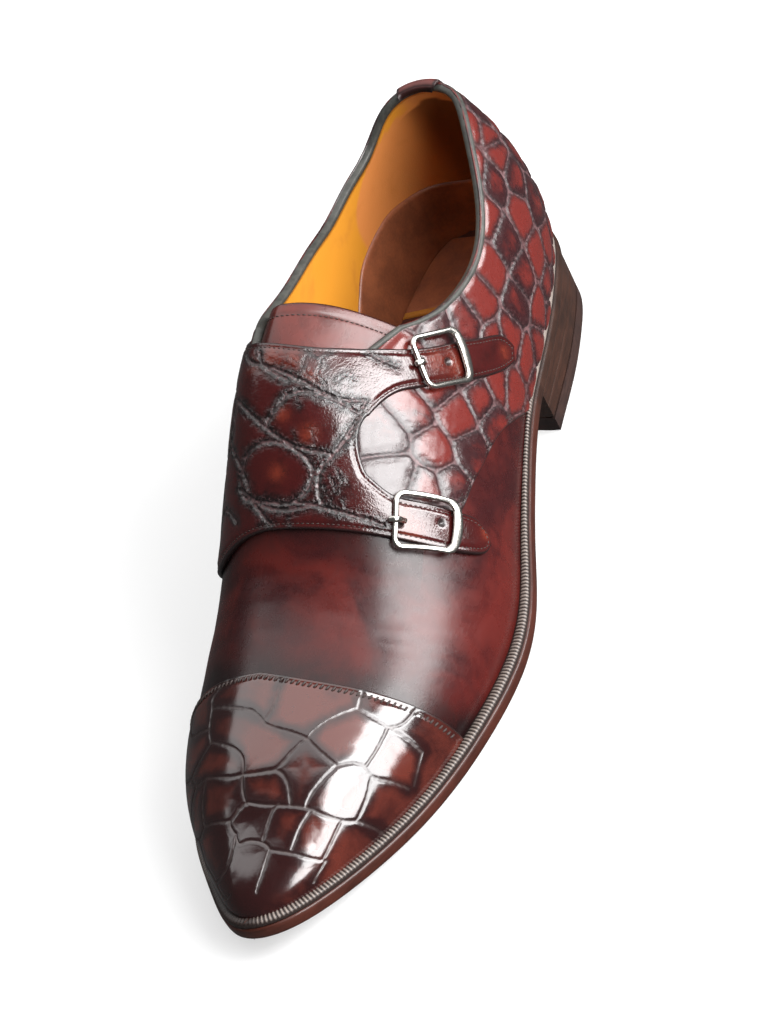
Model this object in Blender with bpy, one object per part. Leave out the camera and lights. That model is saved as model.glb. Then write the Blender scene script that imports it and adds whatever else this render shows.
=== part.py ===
"""Left double monk strap shoe: a hollow lasted upper with a toe cap, a strap panel that crosses the
instep and forks into two buckled straps, a tongue, an insole, a welted leather sole and a stacked heel.

Frame: +x is the outer side of the foot, +y the heel, +z up, and the floor is z = 0. Working sizes are
millimetres from the last's own line: x across it, and the station s along it from the toe tip. The
origin of the shoe's frame, the middle of its footprint, lies at ORIGIN_X, ORIGIN_S.

The last is one function, last_point(t, w). t runs once round the foot, from the toe tip (0) along the
outer side to the heel back and home along the inner side; w climbs from the feather line (0) to the
ridge of the instep (1). Every leather piece is cut from that function at its own distance from it.
"""

from collections import namedtuple

import bpy
import numpy as np

MM = 0.001

# ---------------------------------------------------------------- driving dimensions, mm
LENGTH = 304.0  # outsole, toe tip to heel back
ORIGIN_X, ORIGIN_S = 2.5, 152.5
GAP = 0.3  # left between pieces that touch
WALL = 2.2  # upper with its lining
OVERLAY = 1.5  # toe cap and strap panel
OVERLAY_GAP = 0.4
TONGUE_THICK = 2.0
INSOLE_THICK = 2.5
OUTSOLE_THICK = 5.0
WELT_THICK = 2.8
LIFT_THICK = 6.0  # wearing piece under the heel
TOE_SPRING = 12.0
BALL_FRONT, BALL_BACK = 84.0, 116.0  # stations between which the sole lies on the floor
BREAST = 226.0  # station of the heel's front face
SEAT_FRONT, SEAT_BACK = 17.6, 22.0  # height of the outsole's underside at the breast and at the back
HEEL_TAPER = 0.97  # foot of the heel against its top

# One row for each section of the last, from the toe tip to the heel back. x and s place the sole's
# edge on the outer and the inner side, top_s is where the section meets the ridge. lean and rise aim
# the wall as it leaves the feather line (mm outwards, share of the height), and crest is how far the
# instep stays flat before it falls (share of the half width).
Section = namedtuple(
    "Section",
    "out_x out_s in_x in_s top_s out_lean out_rise out_crest in_lean in_rise in_crest",
)
SECTIONS = [
    Section(0.5, 0.0, 0.5, 0.0, 24.0, 2.0, 0.55, 0.45, 2.0, 0.55, 0.45),
    Section(14.0, 6.0, -11.8, 6.5, 30.0, 2.0, 0.55, 0.45, 2.3, 0.55, 0.45),
    Section(27.6, 25.0, -27.2, 25.5, 43.0, 3.0, 0.56, 0.47, 2.8, 0.56, 0.45),
    Section(40.5, 52.0, -43.5, 52.0, 63.0, 4.0, 0.58, 0.52, 3.2, 0.60, 0.47),
    Section(49.2, 80.0, -49.8, 82.0, 86.0, 4.0, 0.55, 0.53, 4.6, 0.62, 0.52),
    Section(54.5, 108.0, -48.4, 110.0, 110.0, 3.8, 0.50, 0.54, 6.4, 0.59, 0.56),
    Section(53.7, 137.0, -42.0, 137.0, 137.0, 4.4, 0.49, 0.56, 8.6, 0.55, 0.60),
    Section(47.0, 165.0, -35.5, 165.0, 165.0, 6.0, 0.44, 0.54, 10.3, 0.50, 0.62),
    Section(40.8, 193.0, -33.0, 193.0, 193.0, 7.5, 0.37, 0.52, 10.4, 0.43, 0.60),
    Section(35.8, 221.0, -31.0, 221.0, 217.0, 11.0, 0.36, 0.58, 9.8, 0.37, 0.64),
    Section(32.5, 250.0, -31.6, 250.0, 238.0, 14.0, 0.36, 0.62, 9.4, 0.34, 0.68),
    Section(28.0, 274.0, -29.6, 274.0, 254.0, 16.0, 0.38, 0.66, 9.2, 0.32, 0.70),
    Section(19.3, 296.0, -21.5, 296.0, 265.0, 15.0, 0.38, 0.80, 9.0, 0.32, 0.80),
    Section(0.0, 304.0, 0.0, 304.0, 268.0, 9.0, 0.37, 0.98, 9.0, 0.37, 0.98),
]
HALF = len(SECTIONS) - 1  # t of the heel back
ROUND = 2 * HALF  # t once round the foot

# Ridge of the instep: station, sideways place, height above the floor.
Ridge = namedtuple("Ridge", "s x z")
RIDGE = [
    Ridge(20, -5.0, 29.0),
    Ridge(30, -5.0, 33.0),
    Ridge(45, -4.8, 40.5),
    Ridge(65, -4.8, 47.5),
    Ridge(86, -5.2, 52.5),
    Ridge(110, -6.0, 63.5),
    Ridge(137, -6.8, 86.0),
    Ridge(165, -6.5, 106.5),
    Ridge(193, -4.0, 114.5),
    Ridge(217, -1.6, 120.5),
    Ridge(240, 0.3, 126.5),
    Ridge(268, 1.0, 127.0),
]

# How far the sole's edge stands out past the upper: station, margin.
Margin = namedtuple("Margin", "s width")
MARGINS = [
    Margin(0, 4.5),
    Margin(60, 4.5),
    Margin(120, 4.5),
    Margin(165, 3.2),
    Margin(210, 2.2),
    Margin(304, 2.2),
]

# Top line of the collar: station, height above the floor on the outer and the inner side.
Collar = namedtuple("Collar", "s out_z in_z")
COLLAR = [
    Collar(170, 103.0, 109.0),
    Collar(183, 94.5, 104.5),
    Collar(194, 86.5, 99.5),
    Collar(206, 79.5, 94.5),
    Collar(220, 75.0, 90.5),
    Collar(236, 73.5, 86.0),
    Collar(252, 77.5, 81.5),
    Collar(272, 88.0, 81.6),
    Collar(288, 94.5, 85.5),
    Collar(299, 96.4, 96.4),
    Collar(304, 97.5, 97.5),
]

# Throat under the straps, in sections: where it starts and where it meets the collar.
THROAT, OUT_CORNER, IN_CORNER = 6.0, 8.0, 7.5
THROAT_ROUND = 0.6

# Places on the upper are a section a and a place v across it: -1 at the inner feather line, 0 on the
# ridge, 1 at the outer feather line.
CapLine = namedtuple("CapLine", "v a")
CAP_LINE = [
    CapLine(-1.0, 3.95),
    CapLine(-0.7, 3.86),
    CapLine(-0.4, 3.80),
    CapLine(-0.1, 3.70),
    CapLine(0.15, 3.67),
    CapLine(0.45, 3.80),
    CapLine(0.75, 3.98),
    CapLine(1.0, 4.12),
]

# Cuts across the strap panel, each from its front edge to its back edge.
Cut = namedtuple("Cut", "front_a front_v back_a back_v")
WING = [  # inner side to the fork
    Cut(5.57, -0.60, 8.25, -0.45),
    Cut(5.39, -0.44, 7.70, -0.35),
    Cut(5.38, -0.27, 7.32, -0.22),
    Cut(5.40, -0.10, 7.17, -0.08),
    Cut(5.42, 0.07, 7.13, 0.07),
    Cut(5.47, 0.22, 7.20, 0.21),
    Cut(5.53, 0.335, 7.40, 0.334),
]
LOWER_STRAP = [  # fork to tip
    Cut(5.53, 0.335, 6.10, 0.355),
    Cut(5.60, 0.440, 6.02, 0.435),
    Cut(5.68, 0.530, 6.10, 0.525),
    Cut(5.79, 0.625, 6.24, 0.630),
    Cut(5.95, 0.715, 6.38, 0.715),
    Cut(6.11, 0.775, 6.40, 0.750),
    Cut(6.28, 0.800, 6.36, 0.790),
]
UPPER_STRAP = [
    Cut(6.70, 0.370, 7.40, 0.334),
    Cut(7.12, 0.450, 7.64, 0.425),
    Cut(7.42, 0.525, 7.95, 0.515),
    Cut(7.84, 0.625, 8.36, 0.605),
    Cut(8.19, 0.700, 8.68, 0.680),
    Cut(8.55, 0.775, 8.95, 0.745),
    Cut(8.88, 0.828, 9.03, 0.808),
]
FORK_DEPTH = 0.03  # how far the round of the fork dips below the roots of the straps

# Buckles: centre, and the tip that their strap runs to.
Buckle = namedtuple("Buckle", "name a v tip_a tip_v")
BUCKLES = [
    Buckle("upper", 7.92, 0.558, 9.11, 0.810),
    Buckle("lower", 5.91, 0.540, 6.24, 0.785),
]
FRAME_LENGTH, FRAME_WIDTH, FRAME_RADIUS = 23.2, 19.8, 3.2
BAR_WIDE, BAR_THICK = 2.3, 1.8
PRONG_WIDE, PRONG_THICK = 2.2, 1.4
BUCKLE_GAP = 0.6  # over the strap, whose facets stand a little proud of the true curve

# Top edge of the tongue: place across it, section. Its sides run inside the wall, its root is TONGUE_ROOT.
TongueTop = namedtuple("TongueTop", "v a")
TONGUE_TOP = [
    TongueTop(-0.42, 8.05),
    TongueTop(-0.25, 7.84),
    TongueTop(-0.10, 7.68),
    TongueTop(0.00, 7.66),
    TongueTop(0.10, 7.71),
    TongueTop(0.23, 7.84),
    TongueTop(0.35, 7.98),
    TongueTop(0.48, 8.14),
]
TONGUE_ROOT = 5.7
TONGUE_GAP = 1.0  # under the upper's facets, which cut across its hollow side

CAP_LIFT = 0.8  # of the toe cap's lower edge over the welt
WELT_INSET = 0.5
HEEL_INSET = 0.8

# Fineness of the meshes.
UPPER_COLUMNS, UPPER_ROWS = 105, 13
SOLE_ROWS, SOLE_COLUMNS = 53, 5
WELT_ROWS = 105
HEEL_ROWS = 17
CAP_ROWS, CAP_COLUMNS = 13, 25
TONGUE_ROWS, TONGUE_COLUMNS = 10, 11
WING_ROWS, STRAP_ROWS, STRAP_COLUMNS = 13, 10, 4
BAR_SIDES, CORNER_STEPS, PRONG_ROWS = 8, 4, 6
SHARP_ANGLE = 0.7
WELD = 0.01


# ---------------------------------------------------------------- curves
class Spline:
    """Natural cubic spline through values at knots, or a periodic one when closed."""

    def __init__(self, knots, values, closed=False):
        self.x = np.asarray(knots, float)
        self.y = np.asarray(values, float).reshape(len(knots), -1)
        self.closed = closed
        if closed:
            self.x = np.append(self.x, self.x[-1] + self.x[1] - self.x[0])
            self.y = np.vstack([self.y, self.y[:1]])
        self.bend = self._solve()

    def _solve(self):
        x, y, n = self.x, self.y, len(self.x)
        h = np.diff(x)
        slope = np.diff(y, axis=0) / h[:, None]
        matrix = np.eye(n)
        right = np.zeros_like(y)
        for i in range(1, n - 1):
            matrix[i, i - 1 : i + 2] = h[i - 1], 2 * (h[i - 1] + h[i]), h[i]
            right[i] = 6 * (slope[i] - slope[i - 1])
        if self.closed:
            matrix[0, [0, 1, n - 2]] = 2 * (h[-1] + h[0]), h[0], h[-1]
            right[0] = 6 * (slope[0] - slope[-1])
            matrix[-1, [0, -1]] = 1, -1
        return np.linalg.solve(matrix, right)

    def _cell(self, p):
        p = np.asarray(p, float)
        if self.closed:
            p = (p - self.x[0]) % (self.x[-1] - self.x[0]) + self.x[0]
        i = np.clip(np.searchsorted(self.x, p, side="right") - 1, 0, len(self.x) - 2)
        h = (self.x[i + 1] - self.x[i])[..., None]
        return i, h, (p - self.x[i])[..., None] / h

    def __call__(self, p):
        i, h, u = self._cell(p)
        v = 1 - u
        straight = v * self.y[i] + u * self.y[i + 1]
        curved = (v**3 - v) * self.bend[i] + (u**3 - u) * self.bend[i + 1]
        out = straight + curved * h**2 / 6
        return out[..., 0] if out.shape[-1] == 1 else out

    def slope(self, p):
        i, h, u = self._cell(p)
        v = 1 - u
        curved = (1 - 3 * v**2) * self.bend[i] + (3 * u**2 - 1) * self.bend[i + 1]
        out = (self.y[i + 1] - self.y[i]) / h + curved * h / 6
        return out[..., 0] if out.shape[-1] == 1 else out


def round_the_foot(outer, inner):
    """Column values along the outer side, then back along the inner side without the two ends."""
    return np.vstack([np.asarray(outer, float), np.asarray(inner, float)[-2:0:-1]])


OUTER = [(q.out_x, q.out_s, q.top_s, q.out_lean, q.out_rise, q.out_crest) for q in SECTIONS]
INNER = [(q.in_x, q.in_s, q.top_s, q.in_lean, q.in_rise, q.in_crest) for q in SECTIONS]
section = Spline(np.arange(ROUND), round_the_foot(OUTER, INNER), closed=True)
ridge = Spline([r.s for r in RIDGE], [(r.x, r.z) for r in RIDGE])
margin = Spline([m.s for m in MARGINS], [m.width for m in MARGINS])
collar = Spline([c.s for c in COLLAR], [(c.out_z, c.in_z) for c in COLLAR])


def ease(u):
    """0 below 0, 1 above 1, level at both ends."""
    u = np.clip(u, 0, 1)
    return u * u * (3 - 2 * u)


def sole_z(s):
    """Height of the outsole's underside: toe spring, flat ball, arch and heel seat."""
    s = np.asarray(s, float)
    spring = TOE_SPRING * np.clip((BALL_FRONT - s) / BALL_FRONT, 0, 1) ** 1.8
    arch = SEAT_FRONT * ease((s - BALL_BACK) / (BREAST - BALL_BACK) * 0.93) / ease(0.93)
    seat = (SEAT_BACK - SEAT_FRONT) * np.clip((s - BREAST) / (LENGTH - BREAST), 0, 1)
    return spring + np.where(s < BREAST, arch, SEAT_FRONT) + seat


# ---------------------------------------------------------------- the last
def sole_edge(t, inset=0.0):
    """x and s of the sole's outline, moved inwards by inset."""
    p = section(t)[..., :2]
    d = section.slope(t)[..., :2]
    # the outline runs anticlockwise seen from above with s pointing to the heel
    n = np.stack([-d[..., 1], d[..., 0]], -1)
    n /= np.linalg.norm(n, axis=-1, keepdims=True)
    return p + n * np.asarray(inset, float)[..., None]


def feather(t):
    """Foot of the upper's outer face, on top of the outsole."""
    xy = sole_edge(t, margin(section(t)[..., 1]))
    z = sole_z(xy[..., 1]) + OUTSOLE_THICK + GAP
    return np.concatenate([xy, z[..., None]], -1)


def last_point(t, w):
    """Point of the upper's outer face: a cubic arc from the feather line to the ridge."""
    t, w = np.broadcast_arrays(np.asarray(t, float), np.asarray(w, float))
    _, _, top_s, lean, rise, crest = np.moveaxis(section(t), -1, 0)
    rx, rz = np.moveaxis(ridge(top_s), -1, 0)
    foot = feather(t)
    top = np.stack([rx, top_s, rz], -1)
    out = foot[..., :2] - top[..., :2]
    reach = np.linalg.norm(out, axis=-1, keepdims=True)
    out = out / reach
    height = (top - foot)[..., 2:]
    low = foot + np.concatenate([out * lean[..., None], rise[..., None] * height], -1)
    pitch = ridge.slope(top_s)[..., 1:] * out[..., 1:]
    high = top + np.concatenate([out, pitch], -1) * (crest[..., None] * reach)
    w = w[..., None]
    v = 1 - w
    return v**3 * foot + 3 * v * v * w * low + 3 * v * w * w * high + w**3 * top


def last_offset(t, w, distance):
    """last_point moved outwards along the surface's own normal."""
    t, w = np.broadcast_arrays(np.asarray(t, float), np.asarray(w, float))
    step = 1e-3
    beside = np.minimum(w, 0.99)  # at both ends of the ridge all walls meet in one point
    along = last_point(t + step, beside) - last_point(t - step, beside)
    up = last_point(t, w + step) - last_point(t, w - step)
    n = np.cross(along, up)
    n /= np.linalg.norm(n, axis=-1, keepdims=True)
    return last_point(t, w) + n * np.asarray(distance, float)[..., None]


def climb(t, level):
    """w at which each wall first reaches level(points of the wall), 1 where it never does."""
    w = np.linspace(0, 1, 241)
    p = last_point(np.asarray(t)[:, None], w[None, :])
    over = p[..., 2] - level(p)
    i = np.clip(np.argmax(over >= 0, axis=1), 1, len(w) - 1)
    row = np.arange(len(over))
    share = over[row, i - 1] / (over[row, i - 1] - over[row, i])
    return np.where((over >= 0).any(axis=1), w[i - 1] + np.clip(share, 0, 1) * (w[1] - w[0]), 1.0)


def across(a, v):
    """t and w for section a and a place v across it: -1 inner feather, 0 ridge, 1 outer feather."""
    a, v = np.broadcast_arrays(np.asarray(a, float), np.asarray(v, float))
    return np.where(v >= 0, a, ROUND - a), 1 - np.abs(v)


# ---------------------------------------------------------------- meshes
def grid_quads(rows, columns):
    """Corner numbers of each cell of a grid of points, row by row."""
    k = np.arange(rows * columns).reshape(rows, columns)
    return np.stack([k[:-1, :-1], k[1:, :-1], k[1:, 1:], k[:-1, 1:]], -1).reshape(-1, 4)


def weld(outer, inner, quads):
    """Skin points that coincide become one, and so do their partners on the other skin."""
    _, index = np.unique(np.round(outer / WELD).astype(int), axis=0, return_inverse=True)
    index = index.ravel()
    count = np.bincount(index)[:, None]

    def merged(points):
        return np.stack([np.bincount(index, points[:, k]) for k in range(3)], -1) / count

    return merged(outer), merged(inner), index[quads]


def without_repeats(corners):
    return [k for i, k in enumerate(corners) if k != corners[i - 1]]


def slab(name, outer, inner, quads, finish):
    """Solid between two matching skins: both skins, and a wall along every free edge."""
    outer, inner, quads = weld(outer.reshape(-1, 3), inner.reshape(-1, 3), quads)
    skin = [c for c in map(without_repeats, quads.tolist()) if len(c) > 2]
    edges = {(a, b) for c in skin for a, b in zip(c, c[1:] + c[:1])}
    n = len(outer)
    faces = skin + [[k + n for k in reversed(c)] for c in skin]
    faces += [[b, a, a + n, b + n] for a, b in sorted(edges) if (b, a) not in edges]
    return place(name, np.vstack([outer, inner]), faces, finish)


def signed_volume(points, faces):
    total = 0.0
    for face in faces:
        a = points[face[0]]
        for i, j in zip(face[1:], face[2:]):
            total += np.dot(a, np.cross(points[i], points[j]))
    return total


def place(name, points, faces, finish):
    """Object in the shoe's frame, in metres, with its faces outwards."""
    points = points - (ORIGIN_X, ORIGIN_S, 0)
    if signed_volume(points, faces) < 0:
        faces = [face[::-1] for face in faces]
    mesh = bpy.data.meshes.new(name)
    mesh.from_pydata((points * MM).tolist(), [], faces)
    mesh.validate()
    mesh.shade_smooth()
    mesh.set_sharp_from_angle(angle=SHARP_ANGLE)
    mesh.materials.append(finish)
    piece = bpy.data.objects.new(name, mesh)
    bpy.context.scene.collection.objects.link(piece)
    return piece


def finish(name, colour, roughness, metallic=0.0):
    material = bpy.data.materials.new(name)
    material.use_nodes = True
    shader = material.node_tree.nodes["Principled BSDF"]
    shader.inputs["Base Color"].default_value = (*colour, 1.0)
    shader.inputs["Roughness"].default_value = roughness
    shader.inputs["Metallic"].default_value = metallic
    return material


# ---------------------------------------------------------------- sole and heel
def sole_slab(name, ends, inset, low, high, material):
    """Flat layer of the sole between two sections, low and high above the outsole's underside."""
    a = np.linspace(*ends, SOLE_ROWS)
    edges = [sole_edge(t, inset(t)) for t in (a, ROUND - a)]
    share = np.linspace(0, 1, SOLE_COLUMNS)[:, None]
    plan = edges[0][:, None] * (1 - share) + edges[1][:, None] * share
    base = sole_z(plan[..., 1])
    top = np.dstack([plan, base + high])
    bottom = np.dstack([plan, base + low])
    return slab(name, top, bottom, grid_quads(SOLE_ROWS, SOLE_COLUMNS), material)


def make_outsole():
    leather = finish("sole_leather", (0.16, 0.045, 0.02), 0.45)
    return sole_slab("outsole", (0, HALF), lambda t: 0 * t, 0.0, OUTSOLE_THICK, leather)


def make_insole():
    leather = finish("insole_leather", (0.30, 0.13, 0.05), 0.6)
    low = OUTSOLE_THICK + GAP

    def inside_wall(t):
        return margin(section(t)[..., 1]) + WALL + GAP

    return sole_slab("insole", (0, HALF), inside_wall, low, low + INSOLE_THICK, leather)


def make_welt():
    """Flat strip round the whole upper, on top of the outsole."""
    leather = finish("welt_leather", (0.10, 0.06, 0.045), 0.6)
    t = np.linspace(0, ROUND, WELT_ROWS)
    foot = feather(t)[:, 2]
    edge = sole_edge(t, WELT_INSET)
    deck = sole_z(edge[:, 1]) + OUTSOLE_THICK + GAP
    w = climb(t, lambda p: (foot + WELT_THICK)[:, None])
    top = np.stack([np.column_stack([edge, deck + WELT_THICK]), last_offset(t, w, GAP)], 1)
    bottom = np.stack([np.column_stack([edge, deck]), last_offset(t, 0 * t, GAP)], 1)
    return slab("welt", top, bottom, grid_quads(WELT_ROWS, 2), leather)


def heel_layer(name, low, high, material):
    """Layer of the heel between two heights, given as functions of the outsole's underside."""
    fine = np.linspace(0, HALF, 2001)
    start = np.interp(BREAST, section(fine)[:, 1], fine)
    a = np.linspace(start, HALF, HEEL_ROWS)
    share = np.linspace(0, 1, SOLE_COLUMNS)[:, None]
    skins = []
    for height in (high, low):
        edges = [sole_edge(t, HEEL_INSET) for t in (a, ROUND - a)]
        plan = edges[0][:, None] * (1 - share) + edges[1][:, None] * share
        seat = sole_z(plan[..., 1])
        z = height(seat)
        drawn_in = HEEL_TAPER + (1 - HEEL_TAPER) * z / seat
        x = plan[..., 0] * drawn_in
        s = BREAST + (plan[..., 1] - BREAST) * drawn_in
        skins.append(np.dstack([x, s, z]))
    return slab(name, *skins, grid_quads(HEEL_ROWS, SOLE_COLUMNS), material)


def make_heel():
    leather = finish("heel_leather", (0.055, 0.025, 0.018), 0.4)
    rubber = finish("top_piece", (0.03, 0.018, 0.015), 0.6)
    heel_layer("heel_stack", lambda seat: 0 * seat + LIFT_THICK + GAP, lambda seat: seat - GAP, leather)
    heel_layer("heel_top_piece", lambda seat: 0 * seat, lambda seat: 0 * seat + LIFT_THICK, rubber)


# ---------------------------------------------------------------- upper
def topline(t):
    """w of the upper's top edge: the closed ridge, the throat under the straps, then the collar."""
    t = np.asarray(t, float)
    a = np.minimum(t, ROUND - t)
    outer = t <= HALF
    side = np.where(outer, 0, 1)

    def collar_height(side):
        return lambda p: np.take_along_axis(
            collar(np.clip(p[..., 1], COLLAR[0].s, LENGTH)), side[:, None, None], -1
        )[..., 0]

    corner = np.where(outer, OUT_CORNER, IN_CORNER)
    open_at_corner = 1 - climb(np.where(outer, corner, ROUND - corner), collar_height(side))
    share = np.clip((a - THROAT) / (corner - THROAT), 0, 1) ** THROAT_ROUND
    return np.where(a < corner, 1 - share * open_at_corner, climb(t, collar_height(side)))


def make_upper():
    leather = finish("upper_leather", (0.075, 0.012, 0.008), 0.3)
    t = np.linspace(0, ROUND, UPPER_COLUMNS)
    w = np.linspace(0, 1, UPPER_ROWS)[None, :] * topline(t)[:, None]
    t = np.broadcast_to(t[:, None], w.shape)
    quads = grid_quads(UPPER_COLUMNS, UPPER_ROWS)
    return slab("upper", last_point(t, w), last_offset(t, w, -WALL), quads, leather)


def make_toe_cap():
    """Overlay that stands proud of the vamp, from just above the welt to the cap line."""
    leather = finish("cap_leather", (0.06, 0.008, 0.006), 0.2)
    line = Spline([c.v for c in CAP_LINE], [c.a for c in CAP_LINE])
    v = np.linspace(-1, 1, CAP_COLUMNS)[:, None]
    a = np.linspace(0, 1, CAP_ROWS)[None, :] * line(v[:, 0])[:, None]
    t, _ = across(a, np.broadcast_to(v, a.shape))
    t = t.ravel()
    floor = feather(t)[:, 2] + WELT_THICK + CAP_LIFT
    low = climb(t, lambda p: floor[:, None]).reshape(a.shape)
    t = t.reshape(a.shape)
    w = 1 - np.abs(v) * (1 - low)
    skins = [last_offset(t, w, OVERLAY_GAP + OVERLAY), last_offset(t, w, OVERLAY_GAP)]
    return slab("toe_cap", *skins, grid_quads(CAP_COLUMNS, CAP_ROWS), leather)


def make_tongue():
    """Soft flap under the straps, from inside the vamp to its rounded top."""
    leather = finish("tongue_leather", (0.16, 0.045, 0.03), 0.45)
    edge = Spline([p.v for p in TONGUE_TOP], [p.a for p in TONGUE_TOP])
    v = np.linspace(TONGUE_TOP[0].v, TONGUE_TOP[-1].v, TONGUE_COLUMNS)[:, None]
    a = TONGUE_ROOT + np.linspace(0, 1, TONGUE_ROWS)[None, :] * (edge(v[:, 0])[:, None] - TONGUE_ROOT)
    t, w = across(a, v)
    face = -(WALL + TONGUE_GAP)
    skins = [last_offset(t, w, face), last_offset(t, w, face - TONGUE_THICK)]
    return slab("tongue", *skins, grid_quads(TONGUE_COLUMNS, TONGUE_ROWS), leather)


# ---------------------------------------------------------------- straps
def ribbon(rows, count, columns):
    """Grid of a and v between the front and the back edge of a table of cuts."""
    cuts = Spline(np.arange(len(rows)), rows)(np.linspace(0, len(rows) - 1, count))
    share = np.linspace(0, 1, columns)[:, None]
    return cuts[:, None, :2] * (1 - share) + cuts[:, None, 2:] * share


def make_strap_panel():
    """Wing of the inner quarter over the instep, forked into two straps with pointed tips."""
    leather = finish("strap_leather", (0.07, 0.012, 0.01), 0.22)
    fork = STRAP_COLUMNS - 1
    body = ribbon(WING, WING_ROWS, 3 * fork + 1)
    lower = ribbon(LOWER_STRAP, STRAP_ROWS, STRAP_COLUMNS)
    upper = ribbon(UPPER_STRAP, STRAP_ROWS, STRAP_COLUMNS)
    notch = np.linspace(0, 1, STRAP_COLUMNS)[:, None]
    bottom = lower[0, -1] * (1 - notch) + upper[0, 0] * notch
    bottom[:, 1] -= FORK_DEPTH * np.sin(np.pi * notch[:, 0])
    body[-1] = np.vstack([lower[0], bottom[1:-1], upper[0]])
    body[-2] = (body[-1] + body[-3]) / 2  # the row before the fork shares its dip
    grids = [body, lower, upper]
    quads, start = [], 0
    for grid in grids:
        quads.append(grid_quads(*grid.shape[:2]) + start)
        start += grid.shape[0] * grid.shape[1]
    av = np.vstack([grid.reshape(-1, 2) for grid in grids])
    t, w = across(av[:, 0], av[:, 1])
    skins = [last_offset(t, w, OVERLAY_GAP + OVERLAY), last_offset(t, w, OVERLAY_GAP)]
    return slab("strap_panel", *skins, np.vstack(quads), leather)


# ---------------------------------------------------------------- buckles
def buckle_point(buckle, along, side, height):
    """Point over the strap: mm along it, mm across it and mm above the upper."""
    step = 1e-3

    def at(a, v):
        t, w = across(a, v)
        return last_offset(t, w, height)

    here = (buckle.a, buckle.v)
    da = (at(buckle.a + step, buckle.v) - at(*here)) / step
    dv = (at(buckle.a, buckle.v + step) - at(*here)) / step
    tangents = np.stack([da, dv], -1)
    aim = tangents @ np.array([buckle.tip_a - buckle.a, buckle.tip_v - buckle.v])
    aim /= np.linalg.norm(aim)
    cross = np.cross(np.cross(da, dv), aim)
    cross /= np.linalg.norm(cross)
    moved = np.outer(along, aim) + np.outer(side, cross)
    shift = moved @ np.linalg.pinv(tangents).T
    return at(buckle.a + shift[:, 0], buckle.v + shift[:, 1])


def tube(name, path, up, wide, thick, closed, material):
    """Bar of elliptical section along a path, a ring when closed."""
    ahead = np.roll(path, -1, 0) if closed else np.vstack([path[1:], 2 * path[-1] - path[-2]])
    behind = np.roll(path, 1, 0) if closed else np.vstack([2 * path[0] - path[1], path[:-1]])
    along = ahead - behind
    side = np.cross(along, up)
    side /= np.linalg.norm(side, axis=1, keepdims=True)
    turn = np.linspace(0, 2 * np.pi, BAR_SIDES, endpoint=False)
    wide = np.broadcast_to(wide, len(path))
    section_points = (
        path[:, None]
        + np.cos(turn)[None, :, None] * side[:, None] * wide[:, None, None] / 2
        + np.sin(turn)[None, :, None] * up[:, None] * thick / 2
    )
    rows = len(path)
    k = np.arange(rows * BAR_SIDES).reshape(rows, BAR_SIDES)
    nxt = np.roll(k, -1, 1)
    last = rows if closed else rows - 1
    faces = [
        [int(k[i, j]), int(k[(i + 1) % rows, j]), int(nxt[(i + 1) % rows, j]), int(nxt[i, j])]
        for i in range(last)
        for j in range(BAR_SIDES)
    ]
    if not closed:
        faces += [k[0].tolist(), k[-1][::-1].tolist()]
    return place(name, section_points.reshape(-1, 3), faces, material)


def rounded_rectangle(length, width, radius, steps):
    """Corners as quarter circles, anticlockwise."""
    quarter = np.linspace(0, np.pi / 2, steps)
    points = []
    for k, (x, y) in enumerate([(1, 1), (-1, 1), (-1, -1), (1, -1)]):
        angle = quarter + k * np.pi / 2
        points.append(
            np.column_stack(
                [
                    x * (length / 2 - radius) + radius * np.cos(angle),
                    y * (width / 2 - radius) + radius * np.sin(angle),
                ]
            )
        )
    return np.vstack(points)


def surface_up(buckle, along, side, height):
    lifted = buckle_point(buckle, along, side, height + 1.0) - buckle_point(buckle, along, side, height)
    return lifted / np.linalg.norm(lifted, axis=1, keepdims=True)


def make_buckle(buckle, steel):
    strap_top = OVERLAY_GAP + OVERLAY
    height = strap_top + BUCKLE_GAP + BAR_THICK / 2
    ring = rounded_rectangle(FRAME_LENGTH - BAR_WIDE, FRAME_WIDTH - BAR_WIDE, FRAME_RADIUS, CORNER_STEPS)
    path = buckle_point(buckle, ring[:, 0], ring[:, 1], height)
    up = surface_up(buckle, ring[:, 0], ring[:, 1], height)
    tube("buckle_frame_" + buckle.name, path, up, BAR_WIDE, BAR_THICK, True, steel)

    share = np.linspace(0, 1, PRONG_ROWS)
    along = -share * (FRAME_LENGTH / 2 - BAR_WIDE / 4)
    low = strap_top + BUCKLE_GAP + PRONG_THICK / 2
    high = height + (BAR_THICK + PRONG_THICK) / 2 + GAP
    rise = low + (high - low) * ease(share * 1.6)
    path = np.vstack([buckle_point(buckle, [x], [0.0], z) for x, z in zip(along, rise)])
    up = np.vstack([surface_up(buckle, [x], [0.0], z) for x, z in zip(along, rise)])
    wide = PRONG_WIDE * (1 - 0.45 * share)
    tube("buckle_prong_" + buckle.name, path, up, wide, PRONG_THICK, False, steel)


def main():
    for old in list(bpy.data.objects):
        bpy.data.objects.remove(old)
    make_outsole()
    make_welt()
    make_heel()
    make_upper()
    make_toe_cap()
    make_strap_panel()
    make_tongue()
    make_insole()
    steel = finish("buckle_steel", (0.6, 0.6, 0.6), 0.25, 1.0)
    for buckle in BUCKLES:
        make_buckle(buckle, steel)


main()
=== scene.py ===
# %% [markdown]
# # A left double monk strap shoe, dressed round its CAD frame
#
# The CAD model gives the size and the place of every part. This lesson gives each part the surface that a
# person sees: scaled leather, burnished calf, a wheeled welt, a stacked heel and bright buckles. Lengths are
# millimetres until a mesh is made, because a shoemaker thinks in them. +X is the outer side of the foot,
# +Y the heel, +Z up, and the shoe stands on z = 0.

import bpy
import numpy as np
from mathutils import Matrix


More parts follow.
